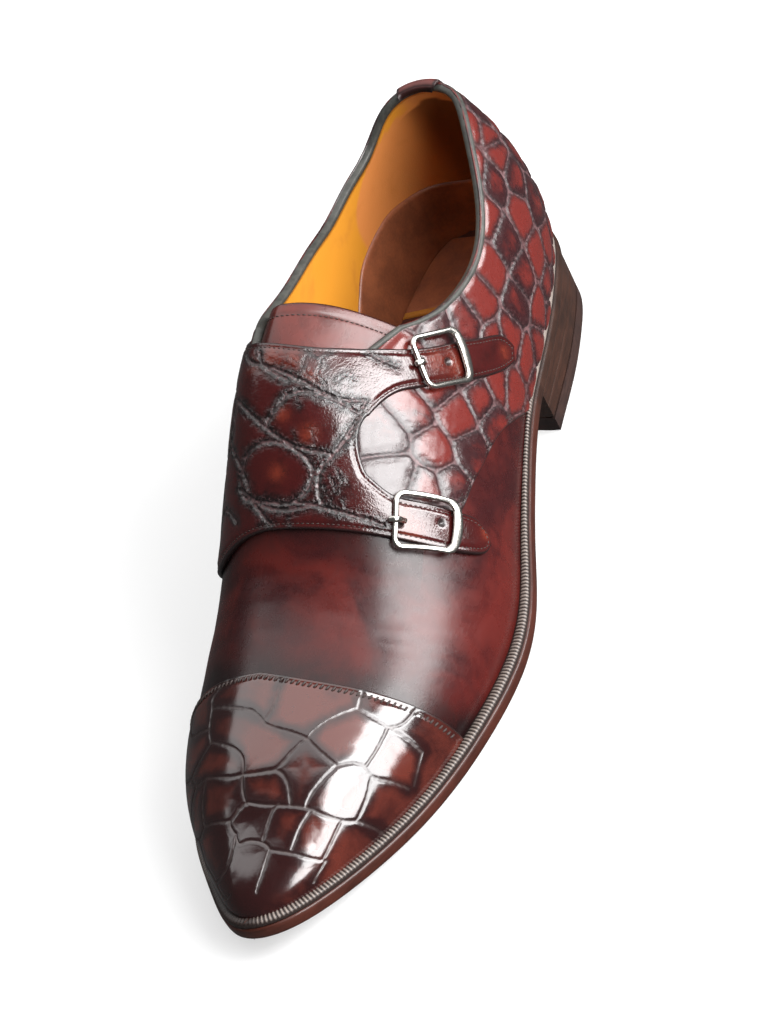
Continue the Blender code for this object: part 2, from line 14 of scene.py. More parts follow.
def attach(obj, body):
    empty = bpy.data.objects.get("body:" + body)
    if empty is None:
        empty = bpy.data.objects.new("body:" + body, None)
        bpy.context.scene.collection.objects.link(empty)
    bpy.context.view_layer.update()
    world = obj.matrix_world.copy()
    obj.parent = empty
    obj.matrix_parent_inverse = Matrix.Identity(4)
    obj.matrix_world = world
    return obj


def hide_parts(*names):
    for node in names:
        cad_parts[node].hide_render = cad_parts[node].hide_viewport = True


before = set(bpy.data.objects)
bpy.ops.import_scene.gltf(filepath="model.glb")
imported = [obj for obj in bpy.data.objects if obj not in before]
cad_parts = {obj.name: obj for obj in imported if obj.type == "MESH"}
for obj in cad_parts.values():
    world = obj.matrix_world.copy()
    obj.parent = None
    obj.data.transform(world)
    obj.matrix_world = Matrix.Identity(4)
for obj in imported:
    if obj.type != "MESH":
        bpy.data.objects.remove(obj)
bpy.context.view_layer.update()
print("CAD nodes:", ", ".join(sorted(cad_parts)))

# %% [markdown]
# ## The last
#
# A shoe is pulled over a last, a wooden foot, and every leather in it follows that one surface. It could be
# sculpted, but then nothing could be placed on it by number. Here it is a function of two parameters, the
# same one that made the CAD parts: t runs once round the foot from the toe tip along the outer side, and w
# climbs from the feather line, where upper and sole meet, to the ridge of the instep. A leather is a patch
# of t and w, pushed out along the surface's own normal by its height in mm.

# %% Sizes that every piece shares, mm
ORIGIN = np.array([2.5, 152.5, 0.0])  # middle of the footprint, from the last's own line and toe tip
LENGTH = 304.0
WALL = 2.2  # upper with its lining
OUTSOLE_THICK, LIFT_THICK = 5.0, 6.0
GAP = 0.3
TOE_SPRING, BALL_FRONT, BALL_BACK = 12.0, 84.0, 116.0  # the sole lies level between the last two
BREAST, SEAT_FRONT, SEAT_BACK = 226.0, 17.6, 22.0  # heel front, height of the seat there and at the back
THROAT, OUT_CORNER, IN_CORNER = 6.0, 8.0, 7.5  # sections where the opening starts and the collar takes over
THROAT_ROUND = 0.6

# one row a section: out_x out_s in_x in_s top_s, then lean, rise and crest of the outer and the inner wall
SECTIONS = np.array([
    [0.5, 0.0, 0.5, 0.0, 24.0, 2.0, 0.55, 0.45, 2.0, 0.55, 0.45],
    [14.0, 6.0, -11.8, 6.5, 30.0, 2.0, 0.55, 0.45, 2.3, 0.55, 0.45],
    [27.6, 25.0, -27.2, 25.5, 43.0, 3.0, 0.56, 0.47, 2.8, 0.56, 0.45],
    [40.5, 52.0, -43.5, 52.0, 63.0, 4.0, 0.58, 0.52, 3.2, 0.60, 0.47],
    [49.2, 80.0, -49.8, 82.0, 86.0, 4.0, 0.55, 0.53, 4.6, 0.62, 0.52],
    [54.5, 108.0, -48.4, 110.0, 110.0, 3.8, 0.50, 0.54, 6.4, 0.59, 0.56],
    [53.7, 137.0, -42.0, 137.0, 137.0, 4.4, 0.49, 0.56, 8.6, 0.55, 0.60],
    [47.0, 165.0, -35.5, 165.0, 165.0, 6.0, 0.44, 0.54, 10.3, 0.50, 0.62],
    [40.8, 193.0, -33.0, 193.0, 193.0, 7.5, 0.37, 0.52, 10.4, 0.43, 0.60],
    [35.8, 221.0, -31.0, 221.0, 217.0, 11.0, 0.36, 0.58, 9.8, 0.37, 0.64],
    [32.5, 250.0, -31.6, 250.0, 238.0, 14.0, 0.36, 0.62, 9.4, 0.34, 0.68],
    [28.0, 274.0, -29.6, 274.0, 254.0, 16.0, 0.38, 0.66, 9.2, 0.32, 0.70],
    [19.3, 296.0, -21.5, 296.0, 265.0, 15.0, 0.38, 0.80, 9.0, 0.32, 0.80],
    [0.0, 304.0, 0.0, 304.0, 268.0, 9.0, 0.37, 0.98, 9.0, 0.37, 0.98],
])
HALF = len(SECTIONS) - 1
ROUND = 2 * HALF
# station, sideways place and height of the instep's ridge
RIDGE = np.array([
    [20, -5.0, 29.0], [30, -5.0, 33.0], [45, -4.8, 40.5], [65, -4.8, 47.5],
    [86, -5.2, 52.5], [110, -6.0, 63.5], [137, -6.8, 86.0], [165, -6.5, 106.5],
    [193, -4.0, 114.5], [217, -1.6, 120.5], [240, 0.3, 126.5], [268, 1.0, 127.0],
])
# station and width of the sole's edge past the upper
MARGINS = np.array([[0, 4.5], [60, 4.5], [120, 4.5], [165, 3.2], [210, 2.2], [304, 2.2]])
# station, and height of the top line on the outer and the inner side
COLLAR = np.array([
    [170, 103.0, 109.0], [183, 94.5, 104.5], [194, 86.5, 99.5], [206, 79.5, 94.5], [220, 75.0, 90.5],
    [236, 73.5, 86.0], [252, 77.5, 81.5], [272, 88.0, 81.6], [288, 94.5, 85.5],
    [299, 96.4, 96.4], [304, 97.5, 97.5],
])


# %% Smooth curves through tables of numbers
class Spline:
    """Natural cubic spline through values at knots: a cubic in each span, whose second slopes come from
    one linear system that makes the first slopes meet. A closed one runs on from its last knot to its
    first."""

    def __init__(self, knots, values, closed=False):
        self.x = np.asarray(knots, float)
        self.y = np.asarray(values, float).reshape(len(self.x), -1)
        self.closed = closed
        if closed:
            self.x = np.append(self.x, self.x[-1] + self.x[1] - self.x[0])
            self.y = np.vstack([self.y, self.y[:1]])
        x, y, n = self.x, self.y, len(self.x)
        h = np.diff(x)
        slope = np.diff(y, axis=0) / h[:, None]
        matrix = np.eye(n)
        right = np.zeros_like(y)
        for i in range(1, n - 1):
            matrix[i, i - 1 : i + 2] = h[i - 1], 2 * (h[i - 1] + h[i]), h[i]
            right[i] = 6 * (slope[i] - slope[i - 1])
        if closed:
            matrix[0, [0, 1, n - 2]] = 2 * (h[-1] + h[0]), h[0], h[-1]
            right[0] = 6 * (slope[0] - slope[-1])
            matrix[-1, [0, -1]] = 1, -1
        self.bend = np.linalg.solve(matrix, right)

    def span(self, p):
        p = np.asarray(p, float)
        if self.closed:
            p = (p - self.x[0]) % (self.x[-1] - self.x[0]) + self.x[0]
        i = np.clip(np.searchsorted(self.x, p, side="right") - 1, 0, len(self.x) - 2)
        h = (self.x[i + 1] - self.x[i])[..., None]
        return i, h, (p - self.x[i])[..., None] / h

    def __call__(self, p):
        i, h, u = self.span(p)
        v = 1 - u
        curved = (v**3 - v) * self.bend[i] + (u**3 - u) * self.bend[i + 1]
        out = v * self.y[i] + u * self.y[i + 1] + curved * h**2 / 6
        return out[..., 0] if out.shape[-1] == 1 else out

    def slope(self, p):
        i, h, u = self.span(p)
        curved = (1 - 3 * (1 - u) ** 2) * self.bend[i] + (3 * u**2 - 1) * self.bend[i + 1]
        out = (self.y[i + 1] - self.y[i]) / h + curved * h / 6
        return out[..., 0] if out.shape[-1] == 1 else out


outer_rows = SECTIONS[:, [0, 1, 4, 5, 6, 7]]
inner_rows = SECTIONS[:, [2, 3, 4, 8, 9, 10]]
section = Spline(np.arange(ROUND), np.vstack([outer_rows, inner_rows[-2:0:-1]]), closed=True)
ridge = Spline(RIDGE[:, 0], RIDGE[:, 1:])
margin = Spline(MARGINS[:, 0], MARGINS[:, 1])
collar = Spline(COLLAR[:, 0], COLLAR[:, 1:])
print("sections of the last:", len(SECTIONS), "heel back at t =", HALF)


# %% The sole's outline and its height over the floor
def ease(u):
    """0 below 0, 1 above 1, level at both ends: 3u^2 - 2u^3 between them."""
    u = np.clip(u, 0, 1)
    return u * u * (3 - 2 * u)


def sole_z(s):
    """Underside of the outsole at station s: toe spring, flat ball, arch, heel seat."""
    s = np.asarray(s, float)
    spring = TOE_SPRING * np.clip((BALL_FRONT - s) / BALL_FRONT, 0, 1) ** 1.8
    arch = SEAT_FRONT * ease((s - BALL_BACK) / (BREAST - BALL_BACK) * 0.93) / ease(0.93)
    seat = (SEAT_BACK - SEAT_FRONT) * np.clip((s - BREAST) / (LENGTH - BREAST), 0, 1)
    return spring + np.where(s < BREAST, arch, SEAT_FRONT) + seat


def sole_edge(t, inset=0.0):
    """x and s of the sole's outline at t, moved inwards by inset along the outline's normal."""
    p = section(t)[..., :2]
    d = section.slope(t)[..., :2]
    n = np.stack([-d[..., 1], d[..., 0]], -1)
    n /= np.linalg.norm(n, axis=-1, keepdims=True)
    return p + n * np.asarray(inset, float)[..., None]


def feather(t):
    """Foot of the upper's outer face, on top of the outsole, a margin inside the sole's outline."""
    xy = sole_edge(t, margin(section(t)[..., 1]))
    return np.concatenate([xy, (sole_z(xy[..., 1]) + OUTSOLE_THICK + GAP)[..., None]], -1)


# %% The last's surface, and any height over it
def last_point(t, w):
    """A cubic arc from the feather line (w = 0) to the ridge (w = 1): it leaves the foot by the section's
    lean and rise, and reaches the ridge level, its crest long."""
    t, w = np.broadcast_arrays(np.asarray(t, float), np.asarray(w, float))
    _, _, top_s, lean, rise, crest = np.moveaxis(section(t), -1, 0)
    rx, rz = np.moveaxis(ridge(top_s), -1, 0)
    foot = feather(t)
    top = np.stack([rx, top_s, rz], -1)
    out = foot[..., :2] - top[..., :2]
    reach = np.linalg.norm(out, axis=-1, keepdims=True)
    out = out / reach
    low = foot + np.concatenate([out * lean[..., None], rise[..., None] * (top - foot)[..., 2:]], -1)
    pitch = ridge.slope(top_s)[..., 1:] * out[..., 1:]
    high = top + np.concatenate([out, pitch], -1) * (crest[..., None] * reach)
    w = w[..., None]
    v = 1 - w
    return v**3 * foot + 3 * v * v * w * low + 3 * v * w * w * high + w**3 * top


def last_normal(t, w):
    """Unit normal, outwards: the slope round the foot crossed with the slope up the wall, and on the ridge,
    where both walls meet, the ridge's own slope turned upright. The band that takes the ridge's slope is
    wider at the toe, where all sections run into one line."""
    t, w = np.broadcast_arrays(np.asarray(t, float), np.asarray(w, float))
    step = 1e-3
    beside = np.minimum(w, 0.985)
    along = last_point(t + step, beside) - last_point(t - step, beside)
    n = np.cross(along, last_point(t, beside + step) - last_point(t, beside - step))
    n /= np.linalg.norm(n, axis=-1, keepdims=True)
    pitch = ridge.slope(section(t)[..., 2])[..., 1]
    crest = np.stack([0 * pitch, -pitch, 1 + 0 * pitch], -1) / np.sqrt(1 + pitch**2)[..., None]
    band = 0.06 + 0.24 * (1 - ease(np.minimum(t % ROUND, -t % ROUND) / 1.8))
    near = ease((w - 1 + band) / (0.65 * band))[..., None]
    n = n * (1 - near) + crest * near
    return n / np.linalg.norm(n, axis=-1, keepdims=True)


def last_offset(t, w, height):
    """last_point pushed out along its normal by height."""
    t, w = np.broadcast_arrays(np.asarray(t, float), np.asarray(w, float))
    return last_point(t, w) + last_normal(t, w) * np.asarray(height, float)[..., None]


def across(a, v):
    """t and w of section a and a place v across it: -1 inner feather, 0 ridge, 1 outer feather."""
    a, v = np.broadcast_arrays(np.asarray(a, float), np.asarray(v, float))
    return np.where(v >= 0, a, ROUND - a), 1 - np.abs(v)


def on_upper(a, v, height):
    """Point over the upper at section a, place v and a height in mm."""
    t, w = across(a, v)
    return last_offset(t, w, height)


def climb(t, level):
    """w at which each wall first reaches level(points of the wall), 1 where it never does."""
    w = np.linspace(0, 1, 401)
    over = []
    for part in np.array_split(np.asarray(t, float), max(1, len(t) // 200)):
        p = last_point(part[:, None], w[None, :])
        over.append(p[..., 2] - level(p, part))
    over = np.vstack(over)
    i = np.clip(np.argmax(over >= 0, axis=1), 1, len(w) - 1)
    row = np.arange(len(over))
    share = over[row, i - 1] / (over[row, i - 1] - over[row, i])
    return np.where((over >= 0).any(axis=1), w[i - 1] + np.clip(share, 0, 1) * (w[1] - w[0]), 1.0)


def topline(t):
    """w of the upper's top edge: the closed ridge, the throat under the straps, then the collar."""
    t = np.asarray(t, float)
    a = np.minimum(t, ROUND - t)
    outer = t <= HALF

    def collar_level(p, part):
        both = collar(np.clip(p[..., 1], COLLAR[0, 0], LENGTH))
        return np.where((part <= HALF)[:, None], both[..., 0], both[..., 1])

    corner = np.where(outer, OUT_CORNER, IN_CORNER)
    w_corner = climb(np.array([OUT_CORNER, ROUND - IN_CORNER]), collar_level)
    open_at_corner = 1 - np.where(outer, w_corner[0], w_corner[1])
    share = np.clip((a - THROAT) / (corner - THROAT), 0, 1) ** THROAT_ROUND
    return np.where(a < corner, 1 - share * open_at_corner, climb(t, collar_level))


heel_top = last_point(HALF, topline(np.array([float(HALF)])))[0, 2]
print("height of the collar at the heel back, mm:", round(float(heel_top), 1))
# %% [markdown]
# ## From grids of points to closed leather
#
# A cut of leather is a thin solid: a face that shows, a flesh side, and a cut edge all round. Modelling it as
# one bent plane with Solidify would give both sides the same fineness. Here the face is a fine grid that can
# carry scales and creases, the flesh side takes only some of the same rows and columns, and wide polygons
# close the wall between them, so that the piece is sealed without doubling its size.

# %% Grids, welding and the mesh itself
def grid_quads(rows, columns):
    """Corner numbers of each cell of a grid of points, row by row."""
    k = np.arange(rows * columns).reshape(rows, columns)
    return np.stack([k[:-1, :-1], k[1:, :-1], k[1:, 1:], k[:-1, 1:]], -1).reshape(-1, 4)


def whole_faces(faces):
    """Faces as lists without corners that a weld made equal, dropping those with fewer than three."""
    out = []
    for group in faces:
        if isinstance(group, np.ndarray):
            same = group == np.roll(group, 1, axis=1)
            out += group[~same.any(axis=1)].tolist()
            group = group[same.any(axis=1)].tolist()
        for corners in group:
            kept = [k for i, k in enumerate(corners) if k != corners[i - 1]]
            if len(set(kept)) == len(kept) > 2:
                out.append(kept)
    return out


def volume(points, faces):
    """Signed volume from the first three corners of each face: above 0 where faces point outwards."""
    corners = np.array([f[:3] for f in faces])
    weight = np.array([len(f) - 2 for f in faces])
    a, b, c = (points[corners[:, k]] for k in range(3))
    return float((np.einsum("ij,ij->i", a, np.cross(b, c)) * weight).sum() / 6)


def make_piece(name, points, faces, finish, marks=None, sharp=None, weld=0.004):
    """Mesh object in the shoe's frame, in metres: equal points become one, faces turn outwards, and marks
    are kept as one number a point for the materials."""
    points = np.asarray(points, float).reshape(-1, 3)
    cell = np.round(points / weld + 0.137).astype(np.int64)  # 0.137 keeps round numbers off a cell's border
    _, first, index = np.unique(cell, axis=0, return_index=True, return_inverse=True)
    index = index.ravel()
    faces = whole_faces([
        index[group] if isinstance(group, np.ndarray) else [index[corners].tolist() for corners in group]
        for group in faces
    ])
    points = points[first] - ORIGIN
    middle = points.mean(0)
    if volume(points - middle, faces) < 0:
        faces = [f[::-1] for f in faces]
    mesh = bpy.data.meshes.new(name)
    mesh.from_pydata((points * 0.001).tolist(), [], faces)
    mesh.shade_smooth()
    if sharp:
        mesh.set_sharp_from_angle(angle=np.radians(sharp))
    for key, values in (marks or {}).items():
        layer = mesh.attributes.new(key, "FLOAT", "POINT")
        layer.data.foreach_set("value", np.asarray(values, np.float32).ravel()[first])
    mesh.materials.append(finish)
    piece = bpy.data.objects.new(name, mesh)
    bpy.context.scene.collection.objects.link(piece)
    triangles = sum(len(f) - 2 for f in faces)
    print(f"{name}: {len(points)} points, {triangles} triangles")
    return piece


def dress(piece, nodes):
    """The piece rides on the shoe, and the CAD nodes that it stands for are hidden."""
    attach(piece, "root")
    if nodes:
        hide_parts(*nodes)
    return piece


# %% Closed sheets: a fine face, a coarse back and a wall
def sheet_faces(rows, columns, back_rows, back_columns):
    """Faces of a closed sheet whose points are the face grid, then the coarse back grid, which uses the
    given rows and columns. The wall's polygons run along the face's edge from one back point to the next."""
    front = np.arange(rows * columns).reshape(rows, columns)
    back = np.arange(len(back_rows) * len(back_columns)).reshape(len(back_rows), -1) + rows * columns
    cells = grid_quads(*back.shape) + rows * columns
    walls = []
    for j, b in ((0, 0), (columns - 1, len(back_columns) - 1)):
        for k in range(len(back_rows) - 1):
            edge = front[back_rows[k] : back_rows[k + 1] + 1, j].tolist()
            wall = edge + [int(back[k + 1, b]), int(back[k, b])]
            walls.append(wall if j else wall[::-1])
    for i, b in ((0, 0), (rows - 1, len(back_rows) - 1)):
        for k in range(len(back_columns) - 1):
            edge = front[i, back_columns[k] : back_columns[k + 1] + 1].tolist()
            wall = edge + [int(back[b, k + 1]), int(back[b, k])]
            walls.append(wall[::-1] if i else wall)
    return [grid_quads(rows, columns), cells[:, ::-1], walls]


def some(count, step):
    """Row numbers about step apart, with both ends."""
    return np.unique(np.linspace(0, count - 1, max(2, (count - 1) // step + 1)).astype(int))


def shares(count, length, radius, first=True, last=True):
    """Shares of a length, packed close where an edge is rounded over by radius and even between."""
    edge = np.array([0, 0.03, 0.12, 0.28, 0.5, 0.75]) * radius / length
    low = edge if first else edge[:1]
    high = 1 - (edge if last else edge[:1])[::-1]
    inside = np.linspace(low[-1], high[0], count - len(low) - len(high) + 2)
    return np.concatenate([low[:-1], inside, high[1:]])


def rolled(distance, radius):
    """Drop of a rounded edge: a quarter circle of the given radius, 0 further in."""
    u = 1 - np.clip(np.asarray(distance) / radius, 0, 1)
    return -radius * (1 - np.sqrt(1 - u * u))


def run(points, axis):
    """Length along each grid line from its start."""
    step = np.linalg.norm(np.diff(points, axis=axis), axis=-1)
    return np.insert(np.cumsum(step, axis=axis), 0, 0.0, axis=axis)


# %% [markdown]
# ## Creases and scales
#
# The skin of a crocodile is a pavement of flat tiles with narrow creases between them. An image of such a
# skin would slide off the shape; a noise would never lie where the cutter placed it. So each crease of the
# toe cap and of the strap panel is a short listed curve on the last, and the scales of the quarters
# grow round seeds: a point belongs to its nearest seed, and the crease is where two seeds are equally near.
# What the mesh needs is one number a point, its distance to the nearest crease in mm.

# %% Distance to lines and to the borders of scales
def curve_on_upper(stations, height, fine=0.5):
    """3-D points about fine mm apart along a smooth curve through (a, v) pairs."""
    stations = np.asarray(stations, float)
    way = Spline(np.arange(len(stations)), stations)
    rough = on_upper(*way(np.linspace(0, len(stations) - 1, 40)).T, height)
    count = max(3, int(np.linalg.norm(np.diff(rough, axis=0), axis=1).sum() / fine) + 1)
    return on_upper(*way(np.linspace(0, len(stations) - 1, count)).T, height)


def segments(curves):
    """Start and end points of all pieces of a list of curves."""
    return np.vstack([c[:-1] for c in curves]), np.vstack([c[1:] for c in curves])


FURTHEST, CHUNK = 12.0, 2500  # mm past which a distance is not worked out, and points taken at a time


def distance_to(points, curves):
    """Distance from each point to the nearest piece of the curves, FURTHEST at most: the point's shadow on
    the piece is kept between its two ends."""
    shape = points.shape[:-1]
    points = points.reshape(-1, 3)
    start, end = segments(curves)
    line = end - start
    square = np.maximum((line**2).sum(1), 1e-12)
    out = np.empty(len(points))
    for i in range(0, len(points), CHUNK):
        p = points[i : i + CHUNK]
        low, high = p.min(0) - FURTHEST, p.max(0) + FURTHEST
        near = ((start > low) & (start < high)).all(1)
        if not near.any():
            out[i : i + CHUNK] = FURTHEST
            continue
        q = p[:, None] - start[near]
        share = np.clip((q * line[near]).sum(-1) / square[near], 0, 1)
        gap = q - share[..., None] * line[near]
        out[i : i + CHUNK] = np.sqrt((gap**2).sum(-1).min(1))
    return np.minimum(out, FURTHEST).reshape(shape)


def scales(points, seeds, corner=0.8):
    """For each point: distance to the border of its scale, and the scale's number. The border between two
    seeds is the plane half way; a soft minimum over the nearest borders rounds the corners."""
    shape = points.shape[:-1]
    points = points.reshape(-1, 3)
    edge, owner = np.empty(len(points)), np.empty(len(points), int)
    for i in range(0, len(points), CHUNK):
        p = points[i : i + CHUNK]
        square = ((p[:, None] - seeds[None]) ** 2).sum(-1)
        order = np.argpartition(square, 6, axis=1)[:, :7]
        near = np.take_along_axis(square, order, 1)
        rank = np.argsort(near, axis=1)
        order, near = np.take_along_axis(order, rank, 1), np.take_along_axis(near, rank, 1)
        own, others = seeds[order[:, 0]], seeds[order[:, 1:]]
        border = (near[:, 1:] - near[:, :1]) / (2 * np.linalg.norm(others - own[:, None], axis=-1))
        edge[i : i + CHUNK] = -corner * np.log(np.exp(-border / corner).sum(1))
        owner[i : i + CHUNK] = order[:, 0]
    return np.maximum(edge, 0).reshape(shape), owner.reshape(shape)


def unevenness(points, size, seed):
    """Uneven height of about -1 to 1 with features size mm across: a sum of sine waves whose directions,
    lengths and starts are drawn at random from the seed."""
    chance, waves = np.random.default_rng(seed), 16
    way = chance.normal(size=(waves, 3))
    way /= np.linalg.norm(way, axis=1, keepdims=True) * size * chance.uniform(0.8, 1.7, (waves, 1))
    phase = chance.uniform(0, 2 * np.pi, waves)
    return np.sin(2 * np.pi * points @ way.T + phase).sum(-1) / np.sqrt(waves)


def bump_of(distance, width):
    """1 on a line and falling away over width mm as a bell."""
    return np.exp(-((distance / width) ** 2))
# %% [markdown]
# ## Finishes as arithmetic
#
# A leather's colour is a sum of small causes: the dye, the cream rubbed darker into hollows, the wax that
# fills creases, the hand that polished the edges. Drawing such a network node by node hides that sum. So a
# socket is wrapped in a small class, and +, -, * and / between sockets add the Math nodes. Colours go through
# Mix, since a Math node would turn them grey.

# %% A socket that can be reckoned with
class Wire:
    """An output socket of a finish. Arithmetic on it adds Math nodes; shelf(low, high) is 0 below low, 1
    above high and smooth between."""

    def __init__(self, finish, socket):
        self.finish, self.socket = finish, socket

    def math(self, operation, first, second=0.0):
        return self.finish.node("ShaderNodeMath", {"operation": operation}, {0: first, 1: second})

    def __add__(self, other):
        return self.math("ADD", self, other)

    def __radd__(self, other):
        return self.math("ADD", other, self)

    def __sub__(self, other):
        return self.math("SUBTRACT", self, other)

    def __rsub__(self, other):
        return self.math("SUBTRACT", other, self)

    def __mul__(self, other):
        return self.math("MULTIPLY", self, other)

    def __rmul__(self, other):
        return self.math("MULTIPLY", other, self)

    def __truediv__(self, other):
        return self.math("DIVIDE", self, other)

    def shelf(self, low, high):
        settings = {"interpolation_type": "SMOOTHSTEP", "clamp": True}
        return self.finish.node("ShaderNodeMapRange", settings, {0: self, 1: low, 2: high, 3: 0.0, 4: 1.0})

    def bell(self, width):
        """1 where the wire is 0, falling to 0.37 at width: exp(-(x / width)^2)."""
        ratio = self / width
        return self.math("EXPONENT", ratio * ratio * -1.0)


class Finish:
    """A material with one Principled shader. node() adds any other node: its type, its settings, which are
    set first, and the values or wires of its sockets."""

    def __init__(self, name, **constants):
        self.material = bpy.data.materials.new(name)
        self.material.use_nodes = True
        self.tree = self.material.node_tree
        self.shader = self.tree.nodes["Principled BSDF"]
        self.place = self.node("ShaderNodeTexCoord", {}, {}, "Object")
        self.set(**constants)

    def connect(self, socket, value):
        if isinstance(value, Wire):
            self.tree.links.new(value.socket, socket)
        elif isinstance(value, tuple) and len(value) == 3 and socket.type == "RGBA":
            socket.default_value = (*value, 1.0)
        else:
            socket.default_value = value

    def node(self, kind, settings, inputs, output=0):
        node = self.tree.nodes.new(kind)
        for key, value in settings.items():
            setattr(node, key, value)
        for key, value in inputs.items():
            self.connect(node.inputs[key], value)
        return Wire(self, node.outputs[output])

    def set(self, **sockets):
        """Sockets of the shader by name, with _ for each space."""
        for key, value in sockets.items():
            self.connect(self.shader.inputs[key.replace("_", " ")], value)

    def mark(self, name):
        """The number a point that make_piece stored under this name."""
        return self.node("ShaderNodeAttribute", {"attribute_name": name}, {}, "Fac")

    def noise(self, size, detail=3.0, roughness=0.55, warp=0.0, stretch=(1, 1, 1), shift=0.0):
        """Cloudy noise from 0 to 1 whose features are about size mm across, stretched along an axis."""
        scale = tuple(1 / k for k in stretch)
        moved = {"Vector": self.place, "Scale": scale, "Location": (shift,) * 3}
        inputs = {"Vector": self.node("ShaderNodeMapping", {}, moved), "Scale": 1000 / size}
        inputs.update({"Detail": detail, "Roughness": roughness, "Distortion": warp})
        return self.node("ShaderNodeTexNoise", {}, inputs)

    def cells(self, size):
        """Distance to the border of Voronoi cells about size mm across."""
        settings, inputs = {"feature": "DISTANCE_TO_EDGE"}, {"Vector": self.place, "Scale": 1000 / size}
        return self.node("ShaderNodeTexVoronoi", settings, inputs)

    def mix(self, factor, first, second):
        """first where factor is 0, second where it is 1."""
        return self.node("ShaderNodeMix", {"data_type": "RGBA"}, {0: factor, 6: first, 7: second}, 2)

    def bump(self, height, depth):
        """Bump from a height of 0 to 1 that stands for depth in mm."""
        inputs = {"Height": height, "Distance": depth * 0.001, "Strength": 1.0}
        self.set(Normal=self.node("ShaderNodeBump", {}, inputs, "Normal"))


# %% [markdown]
# ## Leather, three ways
#
# The cap and the straps are glazed: scaled skin polished under glass, almost a mirror. A clear coat over a
# rough ground could do that, but a coat stays smooth over the fine bumps, so the skin itself gets a low
# roughness and keeps them. The quarters are the same skin, less polished. The vamp is calf, dyed by hand in
# mahogany patches and darker towards every edge, partly burnished and partly painted shade under the straps
# and in its troughs. In all of them the cream collects beside creases, which reads as a thin pale line with a
# dark shoulder, and it catches on the small puckers round it. The pale line is partly a painted highlight of
# the crease's lips, and the dark shoulder is partly painted shade.

# %% Scaled leather, glazed or plain
def scaled_leather(
    name, heart, ground, dark, line, line_width, rough,
    patch=14.0, grain=0.05, wrinkle=0.3, shoulder_shade_and_dye=0.8, gloss=1.0, rubbed=0.0,
):
    """Dye from ground to heart in patches and towards the middle of a scale, dark beside the creases, partly
    dye and partly painted shade, and at the cut edge, orange where the mark glow rises, pale creaming on the
    puckers beside a crease, and a broken pale line in the crease itself, partly creaming and partly a painted
    highlight of the crease's lips."""
    f = Finish(name, IOR=1.5, Specular_IOR_Level=gloss)
    crease, tone, rim = f.mark("crease"), f.mark("tone"), f.mark("rim")
    cloud = f.noise(patch, 4, 0.6, 0.6)
    streak = f.noise(2.2, 3, 0.6, 0.4, shift=0.31)
    fleck = f.noise(0.8, 2, 0.5, shift=0.7)
    broken = f.noise(4.5, 3, 0.6, 0.8, shift=0.15)
    warm = cloud * 1.6 + tone * 0.6 + streak * 0.3 - 1.0 + crease.shelf(0.6, 4.8) * 0.5
    colour = f.mix(warm.shelf(0.05, 0.75), ground, heart)
    colour = f.mix(f.mark("glow") * (streak * 1.8 - 0.25), colour, (0.13, 0.019, 0.009))
    # painted shade, partly dye: the shoulder beside every crease is darkened
    shoulder = (1 - crease.shelf(0.2, 2.4)) * shoulder_shade_and_dye + streak.shelf(0.60, 0.8) * 0.3
    colour = f.mix(shoulder, colour, dark)
    pucker = f.noise(1.7, 3, 0.6, 2.2, shift=0.5)
    colour = f.mix(pucker.shelf(0.50, 0.68) * crease.bell(2.4) * rubbed, colour, line)
    # painted highlight, partly cream: the broken pale line in each crease stands for its lips catching the
    # light
    cream_and_highlight = crease.bell(line_width) * (broken.shelf(0.35, 0.65) * 0.9 + 0.12) * (0.5 + fleck * 0.8)
    colour = f.mix(cream_and_highlight, colour, line)
    colour = f.mix((1 - rim.shelf(0.2, 1.3)) * 0.85, colour, (0.006, 0.004, 0.004))
    dull = 0.20 * crease.bell(0.9) + 0.2 * (1 - rim.shelf(0.0, 1.0))
    f.set(Base_Color=colour, Roughness=rough + 0.08 * streak + dull)
    fine = f.cells(1.1).shelf(0.0, 0.25)
    pucker = pucker.shelf(0.3, 0.7) * crease.bell(2.6)
    f.bump(fleck * 0.25 + streak * 0.3 + fine * 0.15 + pucker * wrinkle, grain)
    return f.material


cap_leather = scaled_leather(
    "cap_leather",
    heart=(0.074, 0.013, 0.008), ground=(0.015, 0.0024, 0.0024), dark=(0.006, 0.002, 0.002),
    line=(0.05, 0.030, 0.027), line_width=0.22, rough=0.10, patch=24.0, grain=0.012, shoulder_shade_and_dye=0.25,
)
strap_leather = scaled_leather(
    "strap_leather",
    heart=(0.038, 0.0034, 0.0032), ground=(0.006, 0.0014, 0.0016), dark=(0.0035, 0.0018, 0.0018),
    line=(0.11, 0.054, 0.056), line_width=0.30, rough=0.14,
    patch=10.0, grain=0.10, wrinkle=1.0, shoulder_shade_and_dye=1.0, gloss=0.8, rubbed=0.75,
)
quarter_leather = scaled_leather(
    "quarter_leather",
    heart=(0.105, 0.010, 0.007), ground=(0.022, 0.0035, 0.0045), dark=(0.009, 0.0025, 0.0035),
    line=(0.12, 0.055, 0.058), line_width=0.26, rough=0.24,
    patch=10.0, grain=0.05, wrinkle=0.6, gloss=0.8, rubbed=0.45,
)


